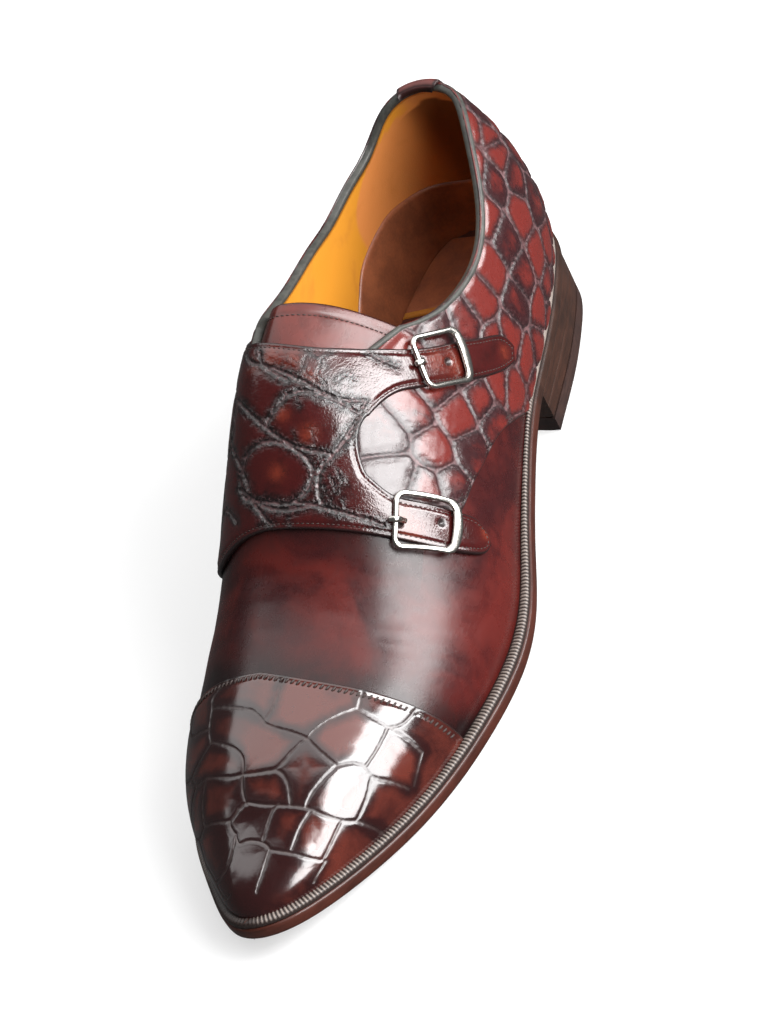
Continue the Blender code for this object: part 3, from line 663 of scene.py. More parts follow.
# %% Burnished calf
def calf(name, red, brown, black, rough, gloss=0.5):
    """Mahogany in patches: brown ground, red clouds, darker where the mark rises to 1, which is partly
    burnishing and partly painted shade.
    """
    f = Finish(name, IOR=1.45, Specular_IOR_Level=gloss)
    burnish_and_shade = f.mark("burnish_and_shade")
    cloud = f.noise(30.0, 3, 0.6, 0.8)
    small = f.noise(7.5, 3, 0.6, 0.5, shift=0.4)
    brush = f.noise(1.6, 2, 0.6, 0.2, stretch=(1, 4, 1), shift=0.2)
    colour = f.mix((cloud * 1.3 + small * 0.5 - 0.45).shelf(0.15, 0.75), brown, red)
    # painted shade, partly burnishing: where the mark is high the calf turns towards black
    wear_and_shade = (burnish_and_shade + (small - 0.5) * 0.5 + (brush - 0.5) * 0.18).shelf(0.05, 0.95)
    colour = f.mix(wear_and_shade, colour, black)
    f.set(Base_Color=colour, Roughness=rough + 0.14 * small + 0.08 * brush)
    pores = f.cells(0.55).shelf(0.0, 0.3)
    wrinkle = f.noise(3.0, 3, 0.65, 1.5, stretch=(3, 1, 1), shift=0.9)
    f.bump(pores * 0.25 + wrinkle * 0.5 + brush * 0.25, 0.035)
    return f.material


vamp_leather = calf(
    "vamp_leather", (0.074, 0.008, 0.006), (0.025, 0.0035, 0.004), (0.008, 0.0025, 0.0027), 0.17
)
tongue_leather = calf(
    "tongue_leather", (0.105, 0.014, 0.009), (0.050, 0.008, 0.006), (0.014, 0.004, 0.004), 0.17, gloss=0.6
)
# painted highlight over the calf's own red: the back strap is lighter for the sheen where the heel's top
# catches the light
back_calf = calf("back_calf", (0.17, 0.035, 0.028), (0.085, 0.018, 0.016), (0.020, 0.006, 0.006), 0.32)


# %% Lining, insole and sock
def lining_leather():
    """Vegetable-tanned lining: yellow-orange in front, browner on the heel grip where the mark back is 1 and
    darkened by painted shade where it rises to 2."""
    f = Finish("lining_leather", IOR=1.4)
    back, cloud = f.mark("back"), f.noise(16, 3, 0.55, 0.3)
    fine = f.noise(1.2, 3, 0.6, shift=0.5)
    colour = f.mix((back + (cloud - 0.5) * 0.3).shelf(0.1, 0.9), (0.56, 0.225, 0.020), (0.55, 0.195, 0.050))
    colour = f.mix(cloud.shelf(0.52, 0.75) * 0.35, colour, (0.36, 0.115, 0.020))
    # painted shade: the darkest brown where back passes 1
    colour = f.mix(back.shelf(1.0, 2.0), colour, (0.14, 0.040, 0.008))
    f.set(Base_Color=colour, Roughness=0.42 + 0.2 * cloud)
    f.bump(fine * 0.6 + f.cells(0.9).shelf(0, 0.3) * 0.4, 0.03)
    return f.material


def plain_leather(name, light, dark, size, rough, coat=0.0):
    """Leather with one cloudy variation and a fine grain, for parts that are little seen."""
    f = Finish(name, IOR=1.45, Coat_Roughness=0.2)
    cloud, fine = f.noise(size, 4, 0.6, 0.4), f.noise(0.9, 3, 0.6, shift=0.6)
    colour = f.mix((cloud * 0.7 + fine * 0.3).shelf(0.3, 0.7), dark, light)
    f.set(Base_Color=colour, Roughness=rough + 0.15 * cloud, Coat_Weight=coat * (0.7 + 0.3 * cloud))
    f.bump(fine, 0.04)
    return f.material


lining = lining_leather()
sock_leather = plain_leather("sock_leather", (0.28, 0.088, 0.036), (0.15, 0.046, 0.021), 12, 0.40, 0.3)
# painted shade: the insole's dark brown stands for the shade inside the forefoot
insole_leather = plain_leather("insole_leather", (0.075, 0.020, 0.012), (0.040, 0.012, 0.008), 12, 0.5)
arc_leather = plain_leather("arc_leather", (0.40, 0.16, 0.016), (0.28, 0.10, 0.012), 5, 0.45)
edge_leather = plain_leather("edge_leather", (0.056, 0.056, 0.049), (0.026, 0.026, 0.023), 3, 0.45, 0.1)
print("finishes:", ", ".join(sorted(m.name for m in bpy.data.materials)))


# %% Sole leather in layers, welt, thread and steel
def sole_leather(name, light, dark, pitch=0.0, rough=0.38, coat=0.35):
    """Waxed edge of sole leather: fibres lie level, and where lifts are stacked a fine dark line shows every
    pitch mm of height."""
    f = Finish(name, IOR=1.4)
    back = f.mark("back")
    fibre = f.noise(1.4, 4, 0.6, 0.2, stretch=(6, 6, 0.6))
    cloud = f.noise(14, 3, 0.6, 0.4, shift=0.3)
    colour = f.mix((fibre * 0.5 + cloud * 0.6).shelf(0.35, 0.75), dark, light)
    heel_brown = f.mix(cloud.shelf(0.3, 0.7), (0.016, 0.0065, 0.004), (0.034, 0.013, 0.0075))
    colour = f.mix(back, colour, heel_brown)
    height = fibre
    if pitch:
        up = f.node("ShaderNodeSeparateXYZ", {}, {0: f.place}, "Z") * (1000 / pitch) + (cloud - 0.5) * 0.12
        phase = f.node("ShaderNodeMath", {"operation": "PINGPONG"}, {0: up, 1: 0.5})
        joint = phase.bell(0.07)
        colour = f.mix(joint * 0.35, colour, (0.012, 0.006, 0.005))
        height = fibre * 0.8 + (1 - joint) * 0.2
    f.set(Base_Color=colour, Roughness=rough + 0.15 * fibre, Coat_Weight=coat * (0.6 + 0.4 * cloud))
    f.bump(height, 0.05)
    return f.material


def welt_leather():
    """Wheeled welt: pale on the crests of its ribs and dark between them, by the marked crests; the pale is
    partly waxing and partly a painted highlight, the dark partly painted shade.
    """
    f = Finish("welt_leather", IOR=1.45)
    rib, cloud = f.mark("rib"), f.noise(4, 3, 0.6)
    colour = f.mix((rib + (cloud - 0.5) * 0.4).shelf(0.2, 0.9), (0.020, 0.012, 0.010), (0.20, 0.165, 0.145))
    f.set(Base_Color=colour, Roughness=0.36 + 0.2 * cloud)
    f.bump(f.noise(0.7, 2, 0.6), 0.03)
    return f.material


def thread(name, colour, dark):
    """Waxed thread: strands twisted round each other show as fine slanted light and shade."""
    f = Finish(name, IOR=1.45)
    twist = f.noise(0.45, 2, 0.6, 0.5)
    f.set(Base_Color=f.mix(twist.shelf(0.3, 0.7), dark, colour), Roughness=0.45 + 0.2 * twist)
    f.bump(twist, 0.03)
    return f.material


def steel():
    """Nickel-plated steel: bright, with faint brushing and a little tarnish in patches."""
    f = Finish("buckle_steel", Metallic=1.0)
    tarnish, brush = f.noise(5, 3, 0.6), f.noise(0.5, 3, 0.6, stretch=(1, 5, 1), shift=0.2)
    f.set(Base_Color=f.mix(tarnish.shelf(0.35, 0.8), (0.62, 0.60, 0.56), (0.36, 0.34, 0.31)))
    f.set(Roughness=0.15 + 0.12 * tarnish + 0.05 * brush)
    f.bump(brush, 0.006)
    return f.material


outsole_leather = sole_leather("outsole_leather", (0.055, 0.011, 0.005), (0.028, 0.006, 0.003))
heel_leather = sole_leather("heel_leather", (0.038, 0.0135, 0.0072), (0.016, 0.0065, 0.004), pitch=5.2)
top_piece = sole_leather("top_piece", (0.035, 0.015, 0.011), (0.015, 0.007, 0.006), rough=0.5, coat=0.1)
welt_finish = welt_leather()
dark_thread = thread("dark_thread", (0.045, 0.026, 0.022), (0.016, 0.010, 0.009))
bright_steel = steel()
# %% [markdown]
# ## Camera, floor and light
#
# The shoe is seen from its outer front, from above, by a camera that is rolled so that the toe points down
# and a little left. A long lens keeps the shoe's proportions. It lies on a plain pale floor under an even
# pale sky. Two wide windows of light stand at the outer side, one over the other: their reflections draw
# the bright panes on the glazed cap and the band on the vamp. A weaker light from above opens the instep.

# %% Camera: azimuth, elevation and roll about the point it looks at
AIM = np.array([0.0091, -0.0007, 0.0442])
AZIMUTH, ELEVATION, ROLL = np.radians([40.525, 37.966, -32.419])
FAR = 2.105  # metres from the camera to that point


def toward(azimuth, elevation):
    """Unit vector from the shoe: azimuth 0 is in front of the toe, 90 at the outer side."""
    level = np.cos(elevation)
    return np.array([np.sin(azimuth) * level, -np.cos(azimuth) * level, np.sin(elevation)])


def place_facing(thing, place, right, up):
    """Puts a camera or a light at a place with its own x and y axes along right and up."""
    axes = np.eye(4)
    axes[:3, 0], axes[:3, 1], axes[:3, 2], axes[:3, 3] = right, up, np.cross(right, up), place
    thing.matrix_world = Matrix(axes.tolist())
    bpy.context.scene.collection.objects.link(thing)


def level_axes(back):
    """Right and up of something that faces along -back and stands level."""
    right = np.cross([0, 0, 1], back)
    right /= np.linalg.norm(right)
    return right, np.cross(back, right)


lens = bpy.data.cameras.new("camera")
lens.lens, lens.sensor_width, lens.clip_end = 227.4, 36.0, 20.0
camera = bpy.data.objects.new("camera", lens)
back = toward(AZIMUTH, ELEVATION)
right, up = level_axes(back)
place_facing(
    camera, AIM + back * FAR,
    right * np.cos(ROLL) + up * np.sin(ROLL), up * np.cos(ROLL) - right * np.sin(ROLL),
)
bpy.context.scene.camera = camera
print("camera at", np.round(AIM + back * FAR, 3))


# %% Floor, sky and three lights
def soft_light(name, place, right, up, width, height, power):
    """Rectangular light that shines against the cross product of its right and up."""
    light = bpy.data.lights.new(name, "AREA")
    light.shape, light.size, light.size_y, light.energy = "RECTANGLE", width, height, power
    place_facing(bpy.data.objects.new(name, light), place, right, up)


floor_finish = Finish("floor", Roughness=0.95, IOR=1.1, Emission_Strength=0.50)
paper = floor_finish.mix(floor_finish.noise(60, 2), (0.50, 0.50, 0.50), (0.52, 0.52, 0.52))
floor_finish.set(Base_Color=paper, Emission_Color=(1.0, 1.0, 1.0))
FLOOR_HALF = 6.0  # metres
mesh = bpy.data.meshes.new("floor")
plan = [(x * FLOOR_HALF, y * FLOOR_HALF, 0) for x, y in ((-1, -1), (1, -1), (1, 1), (-1, 1))]
mesh.from_pydata(plan, [], [(0, 1, 2, 3)])
mesh.materials.append(floor_finish.material)
floor = bpy.data.objects.new("floor", mesh)
bpy.context.scene.collection.objects.link(floor)
floor.visible_glossy = False  # black cloth would keep it out of the gloss in a studio

world = bpy.data.worlds.new("pale_sky")
world.use_nodes = True
world.node_tree.nodes["Background"].inputs["Color"].default_value = (1.0, 1.0, 1.0, 1.0)
world.node_tree.nodes["Background"].inputs["Strength"].default_value = 0.10
bpy.context.scene.world = world
# both windows lie in one plane that faces the shoe from its outer side and leans with the shoe's length
away, lean = toward(np.radians(103), np.radians(30.5)), np.radians(-40)
right, up = level_axes(away)
right, up = right * np.cos(lean) + up * np.sin(lean), up * np.cos(lean) - right * np.sin(lean)
middle = AIM + away * 2.5
soft_light("window", middle + 0.2 * right - 0.04 * up, right, up, 3.6, 0.85, 146)
soft_light("low_window", middle - 0.7 * right - 1.0 * up, right, up, 2.2, 1.0, 84)
soft_light("overhead", np.array([-0.27, 0.96, 1.6]), (1, 0, 0), (0, 1, 0), 3.55, 2.48, 49)
bpy.context.scene.view_settings.view_transform = "Standard"
bpy.context.scene.view_settings.exposure = 0.0

# %% [markdown]
# ## Sole and heel
#
# The outsole is one piece of leather cut to the outline and set with a hot iron, so its edge is a little
# round. It is a profile carried round the foot: rings of points at an inset and a height, closed on the
# midline above and below. The heel is built the same way from a stack of lifts, with its straight breast as
# part of each ring.

# %% Rings round the sole
def midline(t):
    """Middle of the sole beside t: half way between the outline's two sides at the same section."""
    a = np.minimum(t, ROUND - t)
    return (sole_edge(a) + sole_edge(ROUND - a)) / 2


def sole_rings(t, profile, base):
    """Grid of points, a ring for each (inset, rise) of the profile; inset None is the midline."""
    rings = []
    for inset, rise in profile:
        xy = midline(t) if inset is None else sole_edge(t, inset)
        rings.append(np.column_stack([xy, base(xy[:, 1]) + rise]))
    return np.stack(rings)


ring_t = np.linspace(0, ROUND, 641)
OUTSOLE_PROFILE = [
    (None, 0), (6, 0), (1.2, 0.0), (0.5, 0.2), (0.14, 0.7), (0.0, 1.5), (0.0, 2.6), (0.0, 3.6),
    (0.12, 4.3), (0.45, 4.8), (1.1, 5.0), (7.5, 5.0), (None, 5.0),
]
rings = sole_rings(ring_t, OUTSOLE_PROFILE, sole_z)
back = ease((rings[..., 1] - 205) / 25)
outsole = make_piece("outsole_worn", rings, [grid_quads(*rings.shape[:2])], outsole_leather, {"back": back})
dress(outsole, ["outsole"])

# %% Heel: lifts inside one profile
HEEL_INSET, HEEL_TAPER, BREAST_HOLLOW = 0.8, 0.97, 2.5
fine = np.linspace(0, HALF, 4001)
breast_t = float(np.interp(BREAST, section(fine)[:, 1], fine))


def heel_ring(height, inset=0.0):
    """Ring of the heel: its side follows the outsole, drawn in towards the foot of the heel, and its breast
    runs straight across with a slight hollow. height maps the seat's height to the ring's."""
    side = sole_edge(np.linspace(breast_t, ROUND - breast_t, 260), HEEL_INSET + inset)
    share = np.linspace(0, 1, 40)[1:-1, None]
    front = side[-1] * (1 - share) + side[0] * share
    front[:, 1:] += BREAST_HOLLOW * np.sin(np.pi * share) ** 0.8
    plan = np.vstack([side, front])
    plan[:, 1] = np.maximum(plan[:, 1], BREAST + inset)
    seat = sole_z(np.maximum(plan[:, 1], BREAST))
    z = height(seat)
    drawn_in = HEEL_TAPER + (1 - HEEL_TAPER) * z / seat
    return np.column_stack([plan[:, 0] * drawn_in, BREAST + (plan[:, 1] - BREAST) * drawn_in, z])


def heel_block(name, low, high, groove, finish, nodes):
    """Stack of rings from low to high with a rounded foot and a thin groove under each lift."""
    rings = [heel_ring(lambda seat: low(seat), 0.5)]
    levels = np.linspace(0, 1, 23)
    for u in levels:
        inset = 0.22 if groove and abs((u * groove) % 1.0 - 0.5) > 0.44 else 0.0
        inset += 0.45 * (1 - min(1.0, u / 0.04)) ** 2
        rings.append(heel_ring(lambda seat: low(seat) * (1 - u) + high(seat) * u + 0.12, inset))
    rings = np.stack(rings)[:, list(range(rings[0].shape[0])) + [0]]
    count = rings.shape[1]
    caps = [list(range(count - 1)), list(range((len(rings) - 1) * count, len(rings) * count - 1))[::-1]]
    piece = make_piece(name, rings, [grid_quads(*rings.shape[:2]), caps], finish, sharp=40)
    return dress(piece, nodes)


heel_block(
    "heel_lifts", lambda seat: 0 * seat + LIFT_THICK + 0.25, lambda seat: seat - 0.2, 4,
    heel_leather, ["heel_stack"],
)
heel_block(
    "heel_foot", lambda seat: 0 * seat, lambda seat: 0 * seat + LIFT_THICK - 0.1, 0,
    top_piece, ["heel_top_piece"],
)

# %% [markdown]
# ## Welt
#
# The welt is the strip that ties upper and sole together. A toothed wheel, run hot along its top, leaves
# fine ribs that hide the stitches. A bump would be lost at its outline, so the ribs are geometry: the same
# carried profile as the outsole, finely sampled along its length, with a cosine ripple in its height.

# %% Ribbed welt
RIB_PITCH, RIB_HEIGHT = 1.35, 0.34
fine_t = np.linspace(0, ROUND, 8001)
edge_run = run(sole_edge(fine_t, 2.0), 0)
rib_count = int(edge_run[-1] / RIB_PITCH)
welt_run = np.linspace(0, edge_run[-1], rib_count * 5 + 1)
welt_t = np.interp(welt_run, edge_run, fine_t)
coarse_t = np.linspace(0, ROUND, 601)
foot_z = feather(coarse_t)[:, 2]
wall_w = climb(coarse_t, lambda p, part: (np.interp(part, coarse_t, foot_z) + 1.6)[:, None])
wall = last_offset(welt_t, np.interp(welt_t, coarse_t, wall_w), -0.3)
rim_xy = sole_edge(welt_t, 0.5)
deck = sole_z(rim_xy[:, 1]) + OUTSOLE_THICK
station = rim_xy[:, 1]
ribbed = 1 - ease((station - 205) / 25)
ripple = 0.5 + 0.5 * np.cos(2 * np.pi * welt_run / RIB_PITCH)
# share of the way out, rise over the deck, how strongly the ribs show
WELT_PROFILE = [
    (0.0, 1.7, 0), (0.10, 1.75, 0), (0.20, 1.95, 0.1), (0.32, 2.35, 0.9), (0.46, 2.5, 1), (0.62, 2.5, 1),
    (0.78, 2.45, 1), (0.90, 2.2, 0.9), (0.97, 1.8, 0.6), (1.0, 1.2, 0.2), (1.0, 0.5, 0.0), (0.98, 0.05, 0),
    (0.5, 0.02, 0), (0.0, 0.05, 0),
]
from_tip = np.where(welt_t > HALF, welt_t - ROUND, welt_t)
crest_paleness = 1 - 0.85 * ease((from_tip + 2.2) / 0.6) * (1 - ease(from_tip / 0.6))  # the pale crests fade out round the toe tip
rings, ribs = [], []
for share, rise, depth in WELT_PROFILE:
    xy = wall[:, :2] * (1 - share) + rim_xy * share
    z = deck + rise - RIB_HEIGHT * depth * ribbed * (1 - ripple)
    rings.append(np.column_stack([xy, z]))
    # painted highlight and shade, partly waxing: crests are pale and the hollows between them dark
    crest_wax_and_glint = ribbed * ripple * crest_paleness * min(1.0, depth + 0.2) + (1 - ribbed) * 0.75
    ribs.append(np.where(depth > 0.05, crest_wax_and_glint, 0.0))
rings.append(rings[0])
ribs.append(ribs[0])
rings, ribs = np.stack(rings), np.stack(ribs)
welt = make_piece("welt_wheeled", rings, [grid_quads(*rings.shape[:2])], welt_finish, {"rib": ribs})
dress(welt, ["welt"])
print("ribs round the welt:", rib_count)
# %% [markdown]
# ## Lining, insole and sock
#
# Inside, the wall is soft orange lining that browns towards the heel, and the foot rests on an insole with a
# dark sock under the heel. These are seen only through the collar, so a coarse grid is enough. They take
# their shape from the last, pushed inwards by the thickness of the wall. The heel grip is only a browner
# field with a curved front edge, so it is a mark on the lining; the sock, its binding and its moulded border
# up the wall have thickness and are pieces of their own.

# %% Lining
lining_t = np.linspace(0, ROUND, 365)
lining_top = topline(lining_t)
lining_top = np.where(lining_top < 0.999, lining_top - 0.010, lining_top)
rise = np.linspace(0, 1, 37)
w = rise[None, :] * lining_top[:, None]
t = np.broadcast_to(lining_t[:, None], w.shape)
sunk = 3.0 * (1 - ease(np.minimum(t, ROUND - t) / 1.6))  # the lining stays clear of the toe
skins = [last_offset(t, w, -1.3 - sunk), last_offset(t, w, -WALL - sunk)]
rows, columns = w.shape
cells = grid_quads(rows, columns)
inner = cells[:, ::-1] + rows * columns
open_top = lining_top < 0.999
foot = np.column_stack([np.arange(rows - 1), np.arange(1, rows)]) * columns
foot = np.hstack([foot, rows * columns + foot[:, ::-1]])
head = foot[open_top[:-1] | open_top[1:]][:, ::-1] + columns - 1
grip_front = 10.58 + 1.3 * (np.maximum(w - 0.28, 0) / 0.18) ** 3  # front edge of the heel grip, in sections
section_a = np.minimum(t, ROUND - t)
back = ease((section_a - grip_front) / 0.16 + 0.5)
# painted shade: back rises past 1 deep in the heel cup, further forwards on the outer side
back = back + ease((section_a + np.where(t > HALF, 0, 0.5) - 12.1) / 0.9)
points = np.concatenate([s.reshape(-1, 3) for s in skins])
marks = {"back": np.tile(back.ravel(), 2)}
lining_piece = make_piece("lining_skin", points, [cells, inner, foot, head], lining, marks)
dress(lining_piece, [])

# %% Insole and heel sock
inside = margin(section(ring_t)[:, 1]) + WALL
INSOLE_PROFILE = [(None, 0.0), (1.5, 0.0), (0.35, 0.0), (0.35, 1.9), (0.7, 2.3), (1.4, 2.5), (None, 2.5)]


def deck_z(s):
    return sole_z(s) + OUTSOLE_THICK + GAP


def inner_rings(t, inside, profile):
    """Rings as for the sole, but measured from the inside of the wall."""
    rings = []
    for inset, rise in profile:
        xy = midline(t) if inset is None else sole_edge(t, inside + inset)
        rings.append(np.column_stack([xy, deck_z(xy[:, 1]) + rise]))
    return np.stack(rings)


# the insole takes the dark brown of painted shade
rings = inner_rings(ring_t, inside, INSOLE_PROFILE)
insole = make_piece("insole_bed", rings, [grid_quads(*rings.shape[:2])], insole_leather)
dress(insole, ["insole"])


def pad(name, first, last, bow, low, high, edge, finish):
    """Flat pad on the insole between two stations: rows across the foot that bow forwards in the middle,
    with edges that fall away near the border."""
    station = np.linspace(first, last, 90)
    a = np.interp(station, section(fine)[:, 1], fine)
    reach = margin(station) + WALL + edge
    sides = [sole_edge(x, reach) for x in (a, ROUND - a)]
    share = np.linspace(0, 1, 61)[:, None, None]
    plan = sides[0][None] * (1 - share) + sides[1][None] * share
    fall = 1 - (station - first) / (last - first)
    plan[..., 1] -= bow * np.sin(np.pi * share[..., 0]) * fall[None, :]
    border = np.minimum(run(plan, 0), run(plan[::-1], 0)[::-1])
    border = np.minimum(border, np.minimum(run(plan, 1), run(plan[:, ::-1], 1)[:, ::-1]))
    top = np.dstack([plan, deck_z(plan[..., 1]) + high + rolled(border, high - low)])
    under = np.dstack([plan, deck_z(plan[..., 1]) + low - 0.2])
    some_rows, some_columns = some(61, 6), some(90, 6)
    faces = sheet_faces(61, 90, some_rows, some_columns)
    points = np.vstack([top.reshape(-1, 3), under[np.ix_(some_rows, some_columns)].reshape(-1, 3)])
    return dress(make_piece(name, points, faces, finish), [])


pad("heel_sock", 260.5, 297, -2.5, 2.4, 3.4, 0.4, sock_leather)
pad("sock_binding", 258.7, 280, -2.5, 2.4, 3.2, 0.4, arc_leather)

# %% Moulded border of the sock, up the wall round the heel
BORDER = np.array([
    [8.6, 0.02], [9.0, 0.11], [9.86, 0.200], [10.13, 0.234], [10.51, 0.253], [10.9, 0.260], [11.3, 0.258],
    [11.64, 0.241], [12.04, 0.222], [12.46, 0.196], [12.75, 0.178], [13.0, 0.172],
])
border_line = Spline(BORDER[:, 0], BORDER[:, 1])
border_t = np.linspace(8.6, ROUND - 8.6, 241)
border_top = border_line(np.minimum(border_t, ROUND - border_t))
w = np.linspace(0.015, 1, 40)[None, :] * border_top[:, None]
t = np.broadcast_to(border_t[:, None], w.shape)
thin = 0.15 + 0.75 * np.sqrt(1 - np.clip((w / border_top[:, None] - 0.95) / 0.05, 0, 1) ** 2)
some_rows, some_columns = some(241, 4), some(40, 4)
pick = np.ix_(some_rows, some_columns)
inner_face, outer_face = last_offset(t, w, -WALL - thin), last_offset(t[pick], w[pick], -WALL - 0.05)
points = np.vstack([inner_face.reshape(-1, 3), outer_face.reshape(-1, 3)])
sock_wall = make_piece("sock_border", points, sheet_faces(241, 40, some_rows, some_columns), sock_leather)
dress(sock_wall, [])

# %% [markdown]
# ## Vamp
#
# The vamp is the plain calf between the cap and the straps. It is one sheet across the instep, from under
# the cap's edge to under the quarters. Its creases are soft: a foot's bend leaves shallow troughs with a
# slight ridge beside them. They are listed as short curves, because their place is what makes them
# look like wear and not like noise.

# %% Lines that the upper's pieces share
CAP_LINE = np.array([
    [-1.0, 3.95], [-0.7, 3.86], [-0.4, 3.80], [-0.1, 3.70],
    [0.15, 3.67], [0.45, 3.80], [0.75, 3.98], [1.0, 4.12],
])
cap_line = Spline(CAP_LINE[:, 0], CAP_LINE[:, 1])
# seam between vamp and quarters, from the throat down to the feather line: (section, place)
OUTER_SEAM = np.array([
    [5.62, 0.34], [5.70, 0.44], [5.87, 0.57], [6.12, 0.65], [6.49, 0.70], [6.82, 0.73], [7.25, 0.77],
    [7.75, 0.81], [8.24, 0.88], [8.81, 1.0],
])
INNER_SEAM = np.array([
    [5.45, -0.46], [5.57, -0.594], [6.28, -0.675], [7.29, -0.766],
    [8.06, -0.857], [8.48, -0.949], [8.68, -1.0],
])


def smooth(table, count):
    """count points along a smooth curve through a table, evenly by its number."""
    table = np.asarray(table, float)
    return Spline(np.arange(len(table)), table)(np.linspace(0, len(table) - 1, count))


def border_distance(points, first_row=False, last_row=False, last_column=False):
    """Distance in mm along the grid lines to the nearest of the chosen borders of a grid of points."""
    parts = [np.full(points.shape[:2], 50.0)]
    if first_row:
        parts.append(run(points, 0))
    if last_row:
        parts.append(run(points[::-1], 0)[::-1])
    if last_column:
        parts.append(run(points[:, ::-1], 1)[:, ::-1])
    return np.min(parts, axis=0)


def leather_sheet(name, a, v, face, back, finish, marks, step=9):
    """Closed sheet over the upper: the face at a height for each point, the back at one height."""
    some_rows, some_columns = some(a.shape[0], step), some(a.shape[1], step)
    pick = np.ix_(some_rows, some_columns)
    points = [on_upper(a, v, face).reshape(-1, 3), on_upper(a[pick], v[pick], back).reshape(-1, 3)]
    full = {key: np.concatenate([m.ravel(), m[pick].ravel()]) for key, m in marks.items()}
    return make_piece(name, np.vstack(points), sheet_faces(*a.shape, some_rows, some_columns), finish, full)


# %% Vamp
VAMP_TROUGHS = [
    [(4.35, 0.30), (4.42, 0.48), (4.60, 0.66), (4.78, 0.80)],
    [(4.62, 0.22), (4.70, 0.42), (4.90, 0.60), (5.08, 0.72)],
    [(4.52, 0.44), (4.66, 0.56), (4.84, 0.70), (4.96, 0.84)],
    [(4.30, 0.02), (4.36, -0.16), (4.40, -0.34), (4.46, -0.52)],
    [(4.66, -0.02), (4.70, -0.20), (4.78, -0.40), (4.86, -0.60)],
    [(4.98, 0.10), (5.00, -0.12), (5.04, -0.32)],
]
v_rows = np.linspace(-1, 1, 300)
seam_v = np.concatenate([INNER_SEAM[::-1, 1], [0.0], OUTER_SEAM[:, 1]])
seam_a = np.concatenate([INNER_SEAM[::-1, 0], [5.9], OUTER_SEAM[:, 0]]) + 0.14
seam_a[np.abs(seam_v) < 0.5] = np.maximum(seam_a[np.abs(seam_v) < 0.5], 5.85)
back_edge = np.interp(v_rows, seam_v, seam_a)
front_edge = cap_line(v_rows) - 0.12
share = np.linspace(0, 1, 130)
a = front_edge[:, None] * (1 - share) + back_edge[:, None] * share
v = np.broadcast_to(v_rows[:, None], a.shape)
base = on_upper(a, v, 0.0)
trough = distance_to(base, [curve_on_upper(c, 0.0, 1.0) for c in VAMP_TROUGHS])
face = 0.05 - 0.07 * bump_of(trough, 2.2) + 0.04 * unevenness(base, 14.0, 21)
past_cap = a - cap_line(v)
to_strap = np.interp(v, seam_v, seam_a) - a
# Darkened where this sum rises: burnishing by the cap line and along both feathers, painted shade under the
# strap panel's front edge, beside the quarters' seam and in the troughs, and a darker band along the inner
# side of the instep.
burnish_and_shade = (
    0.70 * bump_of(past_cap, 0.38) + 0.55 * bump_of(v + 1.0, 0.34) + 0.35 * bump_of(v - 1.0, 0.10)
    + 0.55 * bump_of(np.where(np.abs(v) < 0.55, a - 5.5, 9), 0.38) + 0.25 * bump_of(to_strap, 0.35)
    + 0.30 * bump_of(v + 0.38, 0.16) + 0.15 * bump_of(trough, 1.8)
)
vamp = leather_sheet("vamp", a, v, face, -1.2, vamp_leather, {"burnish_and_shade": np.clip(burnish_and_shade, 0, 1)})
dress(vamp, ["upper"])

# %% [markdown]
# ## Quarters
#
# The quarters wrap the heel and lap over the vamp along a curved seam. Each is a patch of the last between
# four curves, filled by the rule of Coons: the two ways of joining opposite curves are added and the corners
# taken off once. Their scales are long diamonds in staggered rows. The seeds of the rows that show most are
# placed one by one, the others follow a staggered lattice with a little disorder.

# %% Patches between four curves, and seeds for the scales
def coons(bottom, top, left, right, p, q):
    """Grid of (a, v): p runs from the left to the right curve, q from bottom to top."""

    def at(table, u):
        even_share = np.linspace(0, 1, len(table))
        return np.column_stack([np.interp(u, even_share, table[:, k]) for k in (0, 1)])

    low, high, first, last = at(bottom, p), at(top, p), at(left, q), at(right, q)
    p, q = p[:, None, None], q[None, :, None]
    corners = (1 - p) * ((1 - q) * first[0] + q * first[-1]) + p * ((1 - q) * last[0] + q * last[-1])
    return (1 - q) * low[:, None] + q * high[:, None] + (1 - p) * first[None] + p * last[None] - corners


def even(points_of, table):
    """The same curve as 400 points evenly spaced in mm on the upper."""
    fine = smooth(table, 1500) if len(table) < 100 else table
    length = run(points_of(fine[:, 0], fine[:, 1], 0.0), 0)
    at = np.linspace(0, length[-1], 400)
    return np.column_stack([np.interp(at, length, fine[:, k]) for k in (0, 1)])


OUTER_SEEDS = np.array([
    [11.44, 0.51], [11.45, 0.57], [11.27, 0.61], [11.16, 0.69], [10.76, 0.61], [10.73, 0.73], [10.11, 0.61],
    [10.06, 0.69], [10.52, 0.84], [9.57, 0.66], [9.92, 0.79], [9.11, 0.65], [9.56, 0.79], [8.80, 0.74],
    [9.20, 0.90], [8.70, 0.62], [9.12, 0.80], [8.32, 0.54], [8.59, 0.87], [8.05, 0.73], [7.92, 0.80],
    [8.40, 0.77], [7.45, 0.65], [7.62, 0.57], [7.05, 0.51], [6.82, 0.58], [7.21, 0.72], [8.25, 0.66],
    [6.30, 0.56], [6.54, 0.65], [6.24, 0.45], [6.62, 0.43], [9.89, 0.90], [10.49, 0.93], [9.55, 0.95],
    [11.27, 0.80], [11.02, 0.90],
])


